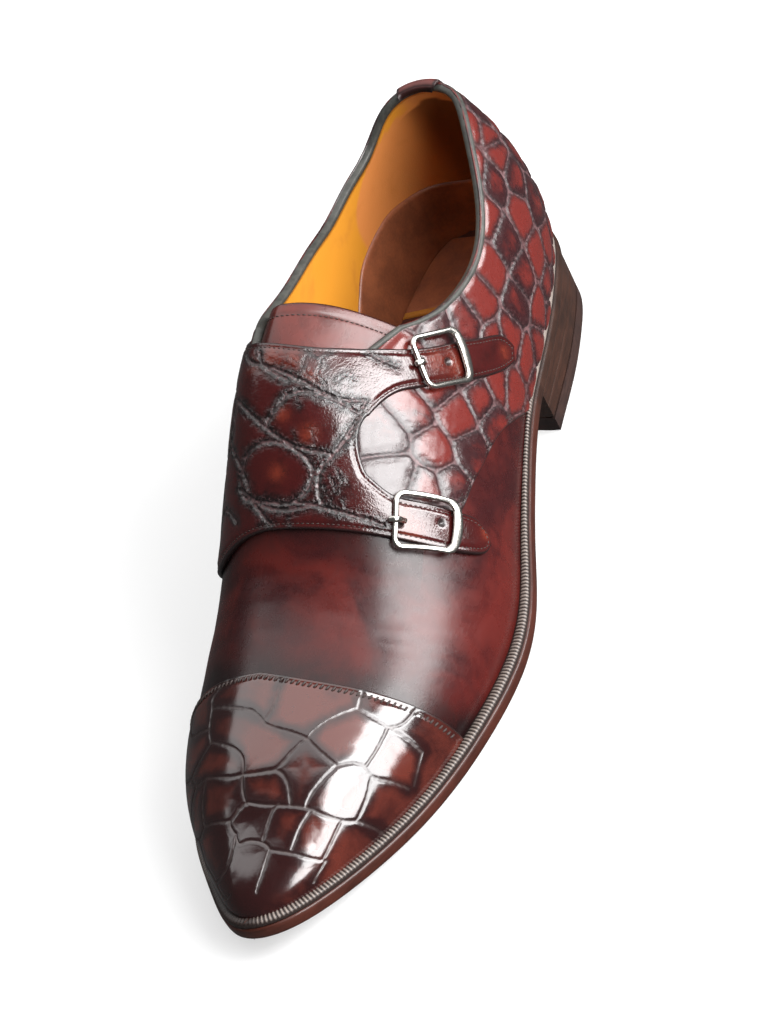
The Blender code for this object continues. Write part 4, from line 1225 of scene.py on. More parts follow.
def staggered_seeds(side, own, seed):
    """3-D seeds: the given ones, and a staggered lattice of rows that keeps 10.5 mm away from them."""
    chance = np.random.default_rng(seed)
    rows = np.arange(0.36, 1.06, 0.084)
    lattice = [
        (5.2 + 0.56 * k + 0.28 * (i % 2), v) for i, v in enumerate(rows) for k in range(15)
    ]
    lattice = [(a, v) for a, v in lattice if side < 0 or a > 7.6 or v > 0.5]  # the fork has seeds of its own
    disorder = (0.045, 0.006) if side > 0 else (0.09, 0.014)  # of section and of place
    lattice = np.array(lattice) + chance.normal(0, 1, (len(lattice), 2)) * disorder
    lattice[:, 0] = np.clip(lattice[:, 0], 5, 2 * HALF - 5)
    wanted = np.array(own, float).reshape(-1, 2)

    def lift(av):
        t = np.where(side > 0, av[:, 0], ROUND - av[:, 0])
        return last_offset(t, 1 - np.clip(av[:, 1], 0, 1.0), 0.9)

    lattice_points = lift(lattice)
    if not len(wanted):
        return lattice_points
    own_points = lift(wanted)
    gap = np.linalg.norm(lattice_points[:, None] - own_points[None], axis=-1).min(1)
    return np.vstack([own_points, lattice_points[gap > 10.5]])


def scale_relief(crease, depth, width, crown, lip=0.0):
    """Height of a scale over its creases: a trough at the border, a low lip beside it, a flat crown."""
    beside = lip * bump_of(crease - 2 * width, width)
    return -depth * bump_of(crease, width) + beside + crown * ease(crease / 4.0)


# %% Quarters
def quarter(name, side, seam, throat, own_seeds, shape, seed):
    """One quarter: seam in front, collar above, feather line below and the heel back behind."""
    to_heel = np.linspace(throat[-1][0], HALF, 600)
    wall_t = to_heel if side > 0 else ROUND - to_heel
    collar_v = 1 - topline(wall_t) - 0.004
    top = np.vstack([smooth(throat, 60)[:-1], np.column_stack([to_heel, collar_v])])
    seam = np.abs(seam)
    bottom = np.column_stack([np.linspace(seam[-1, 0], HALF, 400), np.ones(400)])
    heel = np.column_stack([np.full(200, float(HALF)), np.linspace(1, collar_v[-1], 200)])

    def on_side(a, v, height):
        return last_offset(a if side > 0 else ROUND - a, 1 - v, height)

    curves = [even(on_side, c) for c in (bottom, top, smooth(seam, 400)[::-1], heel)]
    p, q = shares(shape[0], 150, 0.9, True, False), np.linspace(0, 1, shape[1])
    grid = coons(*curves, p, q)
    a, v = grid[..., 0], side * grid[..., 1]
    base = on_upper(a, v, 0.9)
    crease, owner = scales(base, staggered_seeds(side, own_seeds, seed))
    crease = np.maximum(crease + 0.20 * unevenness(base, 2.0, seed + 30), 0)
    rim = border_distance(base, first_row=True)
    under_edge = run(base[:, ::-1], 1)[:, ::-1]
    relief = scale_relief(crease, 0.34, 0.50, 0.40, 0.05) + 0.030 * unevenness(base, 3.2, seed)
    relief = relief * ease(rim / 2) * ease((under_edge - 1.5) / 2.5)
    face = 0.75 + rolled(rim, 0.7) + relief - 0.25 * bump_of(under_edge, 2.2)
    tone = (np.random.default_rng(seed + 10).random(owner.max() + 1) * 1.5 - 0.35)[owner]
    tone = tone - ease(7.6 - a) * ease((0.64 - grid[..., 1]) / 0.15)  # painted shade: the quarter is darker in the fork between the straps
    marks = {"crease": crease, "tone": tone, "rim": rim}
    dress(leather_sheet(name, a, v, face, -0.1, quarter_leather, marks), [])


OUTER_THROAT = [(5.62, 0.34), (6.2, 0.30), (7.0, 0.33), (7.6, 0.39), (8.0, 0.4501)]
INNER_THROAT = [(5.45, 0.46), (6.2, 0.40), (7.0, 0.40), (7.5, 0.44)]
outer_corner = float(1 - topline(np.array([OUT_CORNER]))[0])
inner_corner = float(1 - topline(np.array([ROUND - IN_CORNER]))[0])
print("collar corners across the upper:", round(outer_corner, 3), round(inner_corner, 3))
OUTER_THROAT[-1] = (OUT_CORNER, outer_corner - 0.004)
INNER_THROAT[-1] = (IN_CORNER, inner_corner - 0.004)
quarter("quarter_outer", 1, OUTER_SEAM, OUTER_THROAT, OUTER_SEEDS, (400, 168), 3)
quarter("quarter_inner", -1, INNER_SEAM, INNER_THROAT, [], (330, 150), 8)
# %% [markdown]
# ## Toe cap
#
# The cap is a piece of belly skin with large square-cornered tiles. It lies over the vamp, so its cut edge
# stands proud, and it is glazed until its tiles are flat and bright. Its creases are narrow: each is a listed
# curve, and the face dips beside it by less than a millimetre. The mesh is finest here, because the
# light's reflection breaks exactly at these lines.

# %% Creases of the toe cap, (section, place) along each
CAP_CREASES = [
    [(3.80, -0.12), (3.60, -0.30), (3.43, -0.31), (3.15, -0.32), (2.93, -0.30)],
    [(3.43, -0.31), (3.18, -0.09), (3.01, 0.05), (2.92, 0.11), (2.93, 0.22), (2.94, 0.32)],
    [(3.68, 0.12), (3.54, 0.11), (3.24, 0.11), (3.01, 0.09)],
    [(3.82, 0.45), (3.54, 0.47)],
    [(3.54, 0.47), (3.37, 0.41), (3.14, 0.35), (2.94, 0.32)],
    [(3.54, 0.47), (3.53, 0.55), (3.53, 0.62)],
    [(2.94, 0.32), (2.73, 0.28), (2.48, 0.24), (2.34, 0.19)],
    [(2.94, 0.32), (2.86, 0.40), (2.81, 0.51)],
    [(3.53, 0.62), (3.68, 0.67), (3.97, 0.69)],
    [(3.53, 0.62), (3.55, 0.72), (3.55, 0.82)],
    [(2.81, 0.51), (2.55, 0.48), (2.35, 0.47), (2.21, 0.48)],
    [(2.81, 0.51), (2.94, 0.57), (2.99, 0.63)],
    [(2.99, 0.63), (3.24, 0.63), (3.53, 0.62)],
    [(2.97, 0.63), (2.95, 0.69), (3.01, 0.75), (3.14, 0.88)],
    [(2.94, 0.68), (2.71, 0.73), (2.46, 0.77)],
    [(2.21, 0.48), (2.25, 0.57), (2.34, 0.69), (2.46, 0.77)],
    [(2.19, 0.52), (1.95, 0.52), (1.66, 0.56)],
    [(2.33, 0.70), (2.13, 0.73), (1.87, 0.78)],
    [(1.38, 0.42), (1.62, 0.58), (1.73, 0.68), (1.88, 0.80)],
    [(2.21, 0.49), (2.10, 0.39), (1.94, 0.27), (1.81, 0.17), (1.64, 0.06), (1.42, 0.0), (1.50, -0.17)],
    [(2.03, 0.32), (1.86, 0.30), (1.59, 0.31), (1.35, 0.33)],
    [(2.37, 0.20), (2.23, 0.11), (2.08, 0.0)],
    [(2.08, 0.0), (2.18, -0.11), (2.33, -0.23), (2.53, -0.38)],
    [(2.37, 0.20), (2.41, 0.25), (2.33, 0.32), (2.12, 0.39)],
    [(2.93, -0.30), (2.72, -0.17), (2.53, -0.07), (2.29, 0.0), (2.05, 0.01), (1.81, 0.03), (1.66, 0.08)],
    [(1.50, -0.17), (1.27, -0.16), (0.62, 0.04), (0.98, 0.18), (1.34, 0.33), (1.38, 0.42)],
    [(1.50, -0.17), (1.84, -0.37), (2.06, -0.53)],
    [(0.62, 0.04), (0.80, -0.30), (1.05, -0.52), (1.32, -0.70)],
    [(1.38, 0.42), (1.10, 0.47), (0.72, 0.57), (0.60, 0.62)],
    [(3.55, 0.82), (3.38, 0.85), (3.22, 0.89)],
    [(1.88, 0.80), (1.68, 0.84), (1.59, 0.87)],
    [(2.46, 0.77), (2.55, 0.88), (2.60, 0.96)],
    [(3.82, -0.52), (3.50, -0.55), (3.30, -0.48), (3.15, -0.32)],
    [(3.50, -0.55), (3.50, -0.68), (3.62, -0.76), (3.84, -0.79)],
    [(2.93, -0.30), (2.85, -0.42), (2.80, -0.55)],
    [(2.80, -0.55), (2.62, -0.50), (2.53, -0.38)],
    [(2.80, -0.55), (2.95, -0.66), (3.20, -0.68), (3.50, -0.68)],
    [(2.95, -0.66), (2.90, -0.80), (3.05, -0.95)],
    [(3.50, -0.68), (3.45, -0.84), (3.30, -0.96)],
    [(2.53, -0.38), (2.30, -0.48), (2.06, -0.53)],
    [(2.62, -0.50), (2.50, -0.68), (2.40, -0.80), (2.50, -0.96)],
    [(2.06, -0.53), (2.12, -0.68), (2.40, -0.80)],
    [(2.12, -0.68), (1.85, -0.76), (1.65, -0.90)],
    [(1.32, -0.70), (1.60, -0.72), (1.85, -0.76)],
    [(0.60, -0.62), (0.90, -0.72), (1.32, -0.70)],
    [(2.90, -0.80), (2.70, -0.78), (2.40, -0.80)],
]

# %% Toe cap
CAP_FACE, CAP_BACK = 1.5, -0.35
v_rows = shares(372, 150, 0.6, False, False) * 2 - 1
share = shares(215, 95, 1.0, False, True)
a = share[None, :] * cap_line(v_rows)[:, None]
v = np.broadcast_to(v_rows[:, None], a.shape)
flat_t = across(a, v)[0].ravel()
base_t = np.linspace(0, ROUND, 601)
level = feather(base_t)[:, 2] + 2.0
low = climb(base_t, lambda p, part: np.interp(part, base_t, level)[:, None])
low = np.interp(flat_t, base_t, low).reshape(a.shape)
v = v * (1 - low)
base = on_upper(a, v, CAP_FACE)
crease = distance_to(base, [curve_on_upper(c, CAP_FACE) for c in CAP_CREASES])
crease = np.maximum(crease + 0.08 * unevenness(base, 1.8, 41), 0)
rim = border_distance(base, last_column=True)
groove = rim - 2.0  # where the row of slanted stitches lies
face = CAP_FACE + rolled(rim, 0.8) - 0.22 * bump_of(crease, 0.28) - 0.06 * bump_of(crease, 1.1)
face += 0.03 * bump_of(crease - 1.0, 0.4) - 0.12 * ease((crease - 1.0) / 5) - 0.30 * bump_of(groove, 0.9)
WARM_SPOTS = [(3.3, 0.22), (2.6, 0.12), (3.3, 0.45), (2.5, 0.62), (3.2, 0.75), (2.0, 0.65)]
warm_spots = on_upper(*np.array(WARM_SPOTS).T, CAP_FACE)
warmth = np.min(np.linalg.norm(base[:, :, None] - warm_spots, axis=-1), axis=-1)
marks = {"crease": crease, "rim": rim, "tone": 0.9 * bump_of(warmth, 9.0) - 0.6 * ease((2.1 - a) / 0.9)}
cap = leather_sheet("cap_tiles", a, v, face, CAP_BACK, cap_leather, marks, step=7)
dress(cap, ["toe_cap"])

# %% [markdown]
# ## Strap panel
#
# The inner quarter sends a wing over the instep, and the wing forks into the two straps. It is cut in one
# piece, so it is made in one mesh: three ribbons that share the fork's curve. Every ribbon is a row of cuts
# from its front edge to its back edge, with a smooth curve through them. Its skin has large oval scales with
# deep wrinkled valleys, again listed, and small pits in the valleys come from the finish. Where the
# dye is worn to orange, a mark called glow rises from a short list of places.

# %% Cuts of the panel: front (section, place), back (section, place)
WING = [
    (5.57, -0.60, 8.25, -0.45), (5.39, -0.44, 7.70, -0.35), (5.38, -0.27, 7.32, -0.22),
    (5.40, -0.10, 7.17, -0.08), (5.42, 0.07, 7.13, 0.07), (5.47, 0.22, 7.20, 0.21),
    (5.53, 0.335, 7.40, 0.334),
]
LOWER_STRAP = [
    (5.53, 0.335, 6.10, 0.355), (5.60, 0.440, 6.02, 0.435), (5.68, 0.530, 6.10, 0.525),
    (5.79, 0.625, 6.24, 0.630), (5.95, 0.715, 6.38, 0.715), (6.11, 0.775, 6.40, 0.750),
    (6.28, 0.800, 6.36, 0.790),
]
UPPER_STRAP = [
    (6.70, 0.370, 7.40, 0.334), (7.12, 0.450, 7.64, 0.425), (7.42, 0.525, 7.95, 0.515),
    (7.84, 0.625, 8.36, 0.605), (8.19, 0.700, 8.68, 0.680), (8.55, 0.775, 8.95, 0.745),
    (8.88, 0.828, 9.03, 0.808),
]
FORK_DEPTH = 0.03
PANEL_FACE, PANEL_BACK = 2.0, 0.15
PANEL_CREASES = [
    [(6.90, 0.0), (6.82, 0.10), (6.77, 0.17), (6.72, 0.26), (6.83, 0.36)],
    [(6.73, -0.23), (6.44, -0.06), (6.33, 0.01), (6.20, 0.08), (6.15, 0.16), (6.17, 0.25)],
    [(6.63, 0.10), (6.46, 0.05), (6.34, 0.02)],
    [(6.63, 0.11), (6.70, 0.17), (6.70, 0.26), (6.63, 0.34), (6.42, 0.31), (6.21, 0.26)],
    [(7.41, 0.35), (7.39, 0.38), (7.44, 0.44)],
    [(6.17, 0.25), (5.98, 0.20), (5.80, 0.19), (5.70, 0.20)],
    [(6.33, -0.27), (6.00, -0.15), (5.83, -0.11)],
    [(6.14, -0.09), (6.19, 0.03), (6.15, 0.11), (6.02, 0.17), (5.84, 0.16), (5.67, 0.10), (5.66, 0.0),
     (5.72, -0.11), (5.85, -0.17), (6.03, -0.15), (6.14, -0.09)],
    [(5.86, -0.18), (5.73, -0.09), (5.63, -0.01), (5.60, 0.08), (5.68, 0.18)],
    [(5.67, 0.10), (5.66, 0.26), (5.67, 0.34), (5.68, 0.40)],
    [(5.74, -0.11), (5.56, -0.03), (5.46, 0.01)],
    [(6.83, 0.36), (6.53, 0.32), (6.17, 0.25)],
    [(6.90, 0.0), (6.98, -0.10), (7.12, -0.16)],
    [(6.77, 0.10), (6.90, 0.0), (7.03, -0.03)],
    [(6.33, -0.27), (6.36, -0.40), (6.25, -0.54)],
    [(6.73, -0.23), (7.00, -0.34), (7.20, -0.45), (7.60, -0.50)],
    [(6.73, -0.23), (6.33, -0.27)],
    [(6.36, -0.40), (6.75, -0.46), (7.20, -0.45)],
    [(5.60, -0.22), (5.85, -0.36), (5.70, -0.47), (5.58, -0.56)],
    [(6.36, -0.40), (6.10, -0.38), (5.85, -0.36)],
]
PANEL_FOLDS = [
    [(6.67, 0.13), (6.54, 0.14)], [(6.28, 0.12), (6.15, 0.13)],
    [(6.33, 0.18), (6.18, 0.19)],
    [(6.93, 0.15), (7.03, 0.16), (7.06, 0.19), (7.01, 0.21), (6.90, 0.20), (6.85, 0.18), (6.93, 0.15)],
    [(6.88, 0.15), (6.80, 0.12)], [(7.06, 0.18), (7.11, 0.16)], [(7.06, 0.21), (7.16, 0.24)],
    [(6.90, 0.20), (6.82, 0.23)], [(6.95, 0.13), (6.98, 0.11)], [(6.90, 0.27), (7.01, 0.30), (6.98, 0.32)],
    [(5.97, 0.23), (5.84, 0.25)], [(6.05, 0.25), (5.94, 0.27)], [(5.86, 0.21), (5.73, 0.23)],
    [(5.76, 0.27), (5.71, 0.28)], [(5.99, 0.18), (6.10, 0.20), (6.20, 0.25), (6.31, 0.30)],
    [(5.60, 0.08), (5.45, 0.08)], [(5.63, -0.01), (5.47, -0.05)],
]
# where the dye is worn to orange: (section, place, size in mm)
GLOWS = [
    (6.93, -0.06, 3), (6.98, 0.04, 4), (6.98, 0.12, 3), (6.85, 0.18, 2.5), (6.44, 0.08, 2.5), (6.30, 0.17, 3),
    (5.92, 0.05, 2.8), (5.86, 0.47, 3.5), (5.76, 0.50, 4), (7.88, 0.55, 4.5), (8.02, 0.60, 4.5),
    (8.80, 0.770, 2.5), (6.32, 0.77, 2.5),
]
HOLES = [(7.99, 0.585), (7.73, 0.505), (5.76, 0.455), (6.02, 0.600)]


# %% Strap panel
def ribbon(way, columns):
    """Grid of (a, v): the columns shared out over each cut of a smooth way, from its front to its back."""
    return way[:, None, :2] * (1 - columns[:, None]) + way[:, None, 2:] * columns[:, None]


third = 58
across_strap = shares(third + 1, 19, 0.8)
body_share = np.concatenate([
    shares(third + 1, 17, 0.8, True, False)[:-1] / 3,
    1 / 3 + np.linspace(0, 1, third + 1)[:-1] / 3,
    2 / 3 + shares(third + 1, 17, 0.8, False, True) / 3,
])
body = ribbon(smooth(WING, 216), body_share)
strap_rows = (shares(120, 46, 0.8, False, True) * 599).round().astype(int)
lower, upper = (ribbon(smooth(cuts, 600)[strap_rows], across_strap) for cuts in (LOWER_STRAP, UPPER_STRAP))
notch = np.linspace(0, 1, third + 1)[:, None]
bottom = lower[0, -1] * (1 - notch) + upper[0, 0] * notch
bottom[:, 1] -= FORK_DEPTH * np.sin(np.pi * notch[:, 0]) ** 0.7
fork_row = np.vstack([lower[0], bottom[1:-1], upper[0]])
fade = ease((np.linspace(0, 1, len(body)) - 0.55) / 0.45)[:, None, None]
body = body + fade * (fork_row - body[-1])
grids = [body, lower, upper]
faces, points, marks, start = [], [], {"crease": [], "rim": [], "tone": [], "glow": []}, 0


def round_the_panel(body, lower, upper):
    """The panel's border as runs of its three grids, in order round it, the fork's bottom in the middle."""
    return [
        body[:, 0], lower[:, 0], lower[-1], lower[::-1, -1], body[-1, third : 2 * third + 1],
        upper[:, 0], upper[-1], upper[::-1, -1], body[::-1, -1], body[0, ::-1],
    ]


outline = round_the_panel(*grids)
outline = [on_upper(c[:, 0], c[:, 1], PANEL_FACE) for c in outline]
creases = [curve_on_upper(c, PANEL_FACE) for c in PANEL_CREASES]
folds = [curve_on_upper(c, PANEL_FACE) for c in PANEL_FOLDS]
holes = on_upper(*np.array(HOLES).T, PANEL_FACE)
glow_places, glow_sizes = on_upper(*np.array(GLOWS)[:, :2].T, PANEL_FACE), np.array(GLOWS)[:, 2]
for grid in grids:
    base = on_upper(grid[..., 0], grid[..., 1], PANEL_FACE)
    crease = np.maximum(distance_to(base, creases) + 0.22 * unevenness(base, 1.5, 21), 0)
    rim = distance_to(base, outline)
    hole = np.linalg.norm(base[:, :, None] - holes, axis=-1).min(-1)
    face = PANEL_FACE + rolled(rim, 0.8)
    fold = distance_to(base, folds)
    relief = scale_relief(crease, 0.46, 0.55, 0.30, 0.08)
    relief += 0.03 * bump_of(fold - 0.9, 0.4) - 0.09 * bump_of(fold, 0.40)
    relief += unevenness(base, 2.2, 4) * (0.05 * bump_of(crease, 2.2) + 0.03 * bump_of(fold, 2.0) + 0.008)
    relief += 0.05 * unevenness(base, 1.1, 9) * bump_of(crease, 1.1)
    face += relief * ease((rim - 0.8) / 2.5)
    face -= 0.9 * bump_of(hole, 1.0) + 0.22 * bump_of(rim - 1.8, 0.6)
    points.append(on_upper(grid[..., 0], grid[..., 1], face).reshape(-1, 3))
    # folds take part of a crease's dark shoulder, partly dye and partly painted shade
    marks["crease"].append(np.minimum(crease, fold + 1.2).ravel())
    glow = np.linalg.norm(base[:, :, None] - glow_places, axis=-1) / glow_sizes
    marks["glow"].append(np.exp(-(glow.min(-1) ** 2)).ravel())
    marks["rim"].append(np.minimum(rim, np.maximum(hole - 0.9, 0.0)).ravel())
    marks["tone"].append(np.full(crease.size, 0.4))
    faces.append(grid_quads(*grid.shape[:2]) + start)
    start += crease.size
# the back: some rows and columns of the same three ribbons, and a wall along the whole border
numbers, twins = [], []
some_third = some(third + 1, 5)
columns = [np.unique(np.concatenate([some_third + k * third for k in range(3)])), some_third, some_third]
front_start, back_start = 0, start
for grid, some_columns in zip(grids, columns):
    some_rows = some(len(grid), 5)
    pick = np.ix_(some_rows, some_columns)
    numbers.append(np.arange(grid[..., 0].size).reshape(grid.shape[:2]) + front_start)
    twin = np.full(grid.shape[:2], -1)
    twin[pick] = np.arange(twin[pick].size).reshape(twin[pick].shape) + back_start
    twins.append(twin)
    points.append(on_upper(grid[pick][..., 0], grid[pick][..., 1], PANEL_BACK).reshape(-1, 3))
    faces.append(grid_quads(*twin[pick].shape)[:, ::-1] + back_start)
    for key in marks:
        marks[key].append(np.concatenate(marks[key])[numbers[-1][pick]].ravel() * (key != "rim"))
    front_start, back_start = front_start + twin.size, back_start + twin[pick].size
walls = []
for edge, twin in zip(round_the_panel(*numbers), round_the_panel(*twins)):
    at = np.flatnonzero(twin >= 0)
    for first, last in zip(at[:-1], at[1:]):
        walls.append((edge[first : last + 1].tolist() + [int(twin[last]), int(twin[first])])[::-1])
full_marks = {key: np.concatenate(values) for key, values in marks.items()}
panel = make_piece("strap_panel_scaled", np.vstack(points), [*faces, walls], strap_leather, full_marks)
dress(panel, ["strap_panel"])

# %% [markdown]
# ## Tongue
#
# The tongue is calf, softer and redder than the vamp, with a stitched border. It runs under the straps from
# the throat and shows its rounded top. It lies just under the wall at its sides and swells a little upwards
# in the middle, where nothing holds it down.

# %% Tongue
TONGUE_TOP = np.array([
    [-0.42, 8.05], [-0.25, 7.84], [-0.10, 7.68], [0.0, 7.66],
    [0.10, 7.71], [0.23, 7.84], [0.35, 7.98], [0.48, 8.14],
])
tongue_top = Spline(TONGUE_TOP[:, 0], TONGUE_TOP[:, 1])
v_rows = np.linspace(-0.42, 0.48, 130)
share = shares(90, 50, 1.2, False, True)
a = 5.9 + share[None, :] * (tongue_top(v_rows)[:, None] - 5.9)
v = np.broadcast_to(v_rows[:, None], a.shape)


def tongue_height(v):
    """-3.2 mm under the wall at the sides, swelling to -1.0 over the ridge."""
    return -3.2 + 2.2 * bump_of(v - 0.02, 0.24)


rim = border_distance(on_upper(a, v, -2.0), last_column=True)
face = tongue_height(v) + rolled(rim, 1.0) - 0.15 * bump_of(rim - 4.2, 0.7)
# The edges and the stitch line are burnished; the darkening towards the tongue's foot under the straps and
# along its inner side is painted shade.
burnish_and_shade = 0.9 * bump_of(rim, 1.1) + 0.35 * bump_of(rim - 4.2, 1.0)
burnish_and_shade += 0.5 * ease((0.6 - share) / 0.5)[None, :] + 0.6 * bump_of(v + 0.42, 0.24)
some_rows, some_columns = some(a.shape[0], 8), some(a.shape[1], 8)
pick = np.ix_(some_rows, some_columns)
top = on_upper(a, v, face).reshape(-1, 3)
under = on_upper(a[pick], v[pick], tongue_height(v[pick]) - 1.9).reshape(-1, 3)
marks = {"burnish_and_shade": np.concatenate([burnish_and_shade.ravel(), burnish_and_shade[pick].ravel()])}
faces = sheet_faces(*a.shape, some_rows, some_columns)
tongue = make_piece("tongue_calf", np.vstack([top, under]), faces, tongue_leather, marks)
dress(tongue, ["tongue"])

# %% [markdown]
# ## Top edge and back strap
#
# Upper and lining end together at the collar in a folded and inked edge. It is a small rounded profile
# carried along the top line. At the heel a narrow strap of calf covers the back seam and folds over it.

# %% Folded edge of the collar
def edge_frame(t):
    """Top line point, its normal, and the direction up the wall, for each t."""
    w = topline(t)
    point = last_point(t, w)
    normal = last_normal(t, w)
    up = point - last_point(t, w - 0.01)
    up /= np.linalg.norm(up, axis=-1, keepdims=True)
    return point, normal, up


def carried(t, profile):
    """A closed profile of (height over the last, rise over the top line) carried along the top line."""
    point, normal, up = edge_frame(t)
    rings = point[:, None] + normal[:, None] * profile[None, :, :1] + up[:, None] * profile[None, :, 1:]
    return np.concatenate([rings, rings[:, :1]], 1)


edge_t = np.concatenate([
    np.linspace(7.0, 12.6, 300), np.linspace(12.62, 13.38, 60), np.linspace(13.4, ROUND - 6.6, 300),
])
turn = np.linspace(0, 2 * np.pi, 17)[:-1]
middle, half_width, half_height = -0.75, 1.62, 1.25
folded = np.column_stack([
    middle + half_width * np.sign(np.cos(turn)) * np.abs(np.cos(turn)) ** 0.7,
    -0.7 + half_height * np.sign(np.sin(turn)) * np.abs(np.sin(turn)) ** 0.7,
])
rings = carried(edge_t, folded)
caps = [list(range(16)), list(range((len(edge_t) - 1) * 17, (len(edge_t) - 1) * 17 + 16))[::-1]]
edge_piece = make_piece("collar_edge", rings, [grid_quads(*rings.shape[:2]), caps], edge_leather)
dress(edge_piece, [])

# %% Back strap over the heel seam
strap_t = HALF + np.linspace(-1, 1, 61) * 0.42
strap_top = topline(strap_t)
climb_share = np.linspace(0, 1, 120)
w = climb_share[None, :] * strap_top[:, None]
t = np.broadcast_to(strap_t[:, None], w.shape)
outside = last_offset(t, w, 1.55)
point, normal, up = edge_frame(strap_t)
arc = np.linspace(0, 1, 14)[1:]
over = np.column_stack([-0.75 + 2.35 * np.cos(arc * 2.3), 2.1 * np.sin(arc * 2.3)])
hook = point[:, None] + normal[:, None] * over[None, :, :1] + up[:, None] * over[None, :, 1:]
face = np.concatenate([outside, hook], 1)
border = border_distance(face, first_row=True, last_row=True, last_column=True)
inwards = np.concatenate([last_normal(t, w), np.broadcast_to(normal[:, None], hook.shape)], 1)
face = face + inwards * rolled(border, 0.7)[..., None]
some_rows, some_columns = some(face.shape[0], 6), some(face.shape[1], 6)
pick = np.ix_(some_rows, some_columns)
behind = face[pick] - inwards[pick] * 0.9
burnish_and_shade = 0.8 * bump_of(border, 1.0) + 0.4
marks = {"burnish_and_shade": np.concatenate([burnish_and_shade.ravel(), burnish_and_shade[pick].ravel()])}
back_strap = make_piece(
    "back_strap", np.vstack([face.reshape(-1, 3), behind.reshape(-1, 3)]),
    sheet_faces(*face.shape[:2], some_rows, some_columns), back_calf, marks,
)
dress(back_strap, [])
# %% [markdown]
# ## Stitches
#
# A seam is hundreds of the same stitch, so one small closed form, a few dozen faces, is copied along each
# seam as an array and joined into one mesh. Each copy is turned to its place: along the seam, and out along
# the leather. Where a thread dips into its hole, the form's two ends are pressed below the surface.

# %% A row of stitches along a line on the upper
def stations(line, pitch, height):
    """Places every pitch mm along a line of (a, v): point, direction along and normal."""
    line = np.asarray(line, float)
    fine = smooth(line, 1200) if len(line) < 60 else line
    length = run(on_upper(fine[:, 0], fine[:, 1], height), 0)
    at = np.arange(0.5 * pitch, length[-1] - 0.3 * pitch, pitch)
    a, v = (np.interp(at, length, fine[:, k]) for k in (0, 1))
    t, w = across(a, v)
    point = last_offset(t, w, height)
    along = np.gradient(point, axis=0)
    return point, along / np.linalg.norm(along, axis=1, keepdims=True), last_normal(t, w)


def stitch_form(length, width, height):
    """Closed capsule along x: four rings of six points between two ends, its ends pressed down."""
    x = np.array([-0.5, -0.36, -0.12, 0.12, 0.36, 0.5]) * length
    size = np.array([0.0, 0.8, 1.0, 1.0, 0.8, 0.0])
    turn = np.linspace(0, 2 * np.pi, 7)
    ring = np.stack([np.zeros(7), np.cos(turn) * width / 2, np.sin(turn) * height / 2], -1)
    points = ring[None] * size[:, None, None]
    points[..., 0] += x[:, None]
    points[..., 2] -= (0.55 * height * (2 * np.abs(x) / length) ** 4)[:, None]
    return points


def stitch_row(places, length, width, height, slant=0.0):
    """Points (one form a place) of a row, turned by slant degrees from the seam's direction."""
    point, along, normal = places
    side = np.cross(normal, along)
    side /= np.linalg.norm(side, axis=1, keepdims=True)
    c, s = np.cos(np.radians(slant)), np.sin(np.radians(slant))
    ahead = along * c + side * s
    beside = np.cross(normal, ahead)
    axes = np.stack([ahead, beside, normal], 1)
    form = stitch_form(length, width, height)
    return point[:, None, None] + np.einsum("rcx,nxk->nrck", form, axes)


def stitches(name, rows, finish):
    """All rows of one thread in one mesh."""
    forms = np.concatenate(rows)
    count, rings, sides = forms.shape[:3]
    cell = grid_quads(rings, sides)
    faces = (cell[None] + (np.arange(count) * rings * sides)[:, None, None]).reshape(-1, 4)
    return dress(make_piece(name, forms, [faces], finish, weld=0.002), [])


cap_v = np.linspace(-0.93, 0.93, 300)
cap_stitch_line = np.column_stack([cap_line(cap_v) - 0.075, cap_v])
rows = [stitch_row(stations(cap_stitch_line, 2.0, CAP_FACE - 0.12), 2.5, 0.80, 0.75, 62)]
stitches("cap_stitches", rows, dark_thread)


NUDGE = 1e-3  # step of section or place over which a change of place is measured


def beside_seam(seam, shift):
    """The seam's line moved shift mm into the quarter."""
    fine = smooth(seam, 400)
    t, w = across(fine[:, 0], fine[:, 1])
    point = last_offset(t, w, 0.7)
    along = np.gradient(point, axis=0)
    side = np.cross(last_normal(t, w), along)
    side /= np.linalg.norm(side, axis=1, keepdims=True)
    da = (on_upper(fine[:, 0] + NUDGE, fine[:, 1], 0.7) - point) / NUDGE
    dv = (on_upper(fine[:, 0], fine[:, 1] + NUDGE, 0.7) - point) / NUDGE
    wanted = side * shift
    aa, av, vv = (da * da).sum(1), (da * dv).sum(1), (dv * dv).sum(1)
    ra, rv = (wanted * da).sum(1), (wanted * dv).sum(1)
    det = aa * vv - av * av
    moved = np.column_stack([(ra * vv - rv * av) / det, (rv * aa - ra * av) / det])
    return fine + moved


rows = []
for seam, side in ((OUTER_SEAM[2:-1], 1), (INNER_SEAM[1:-1], -1)):
    for shift in (1.3, 2.9):
        rows.append(stitch_row(stations(beside_seam(seam, shift * side), 1.7, 0.92), 1.35, 0.42, 0.42))
stitches("seam_stitches", rows, dark_thread)

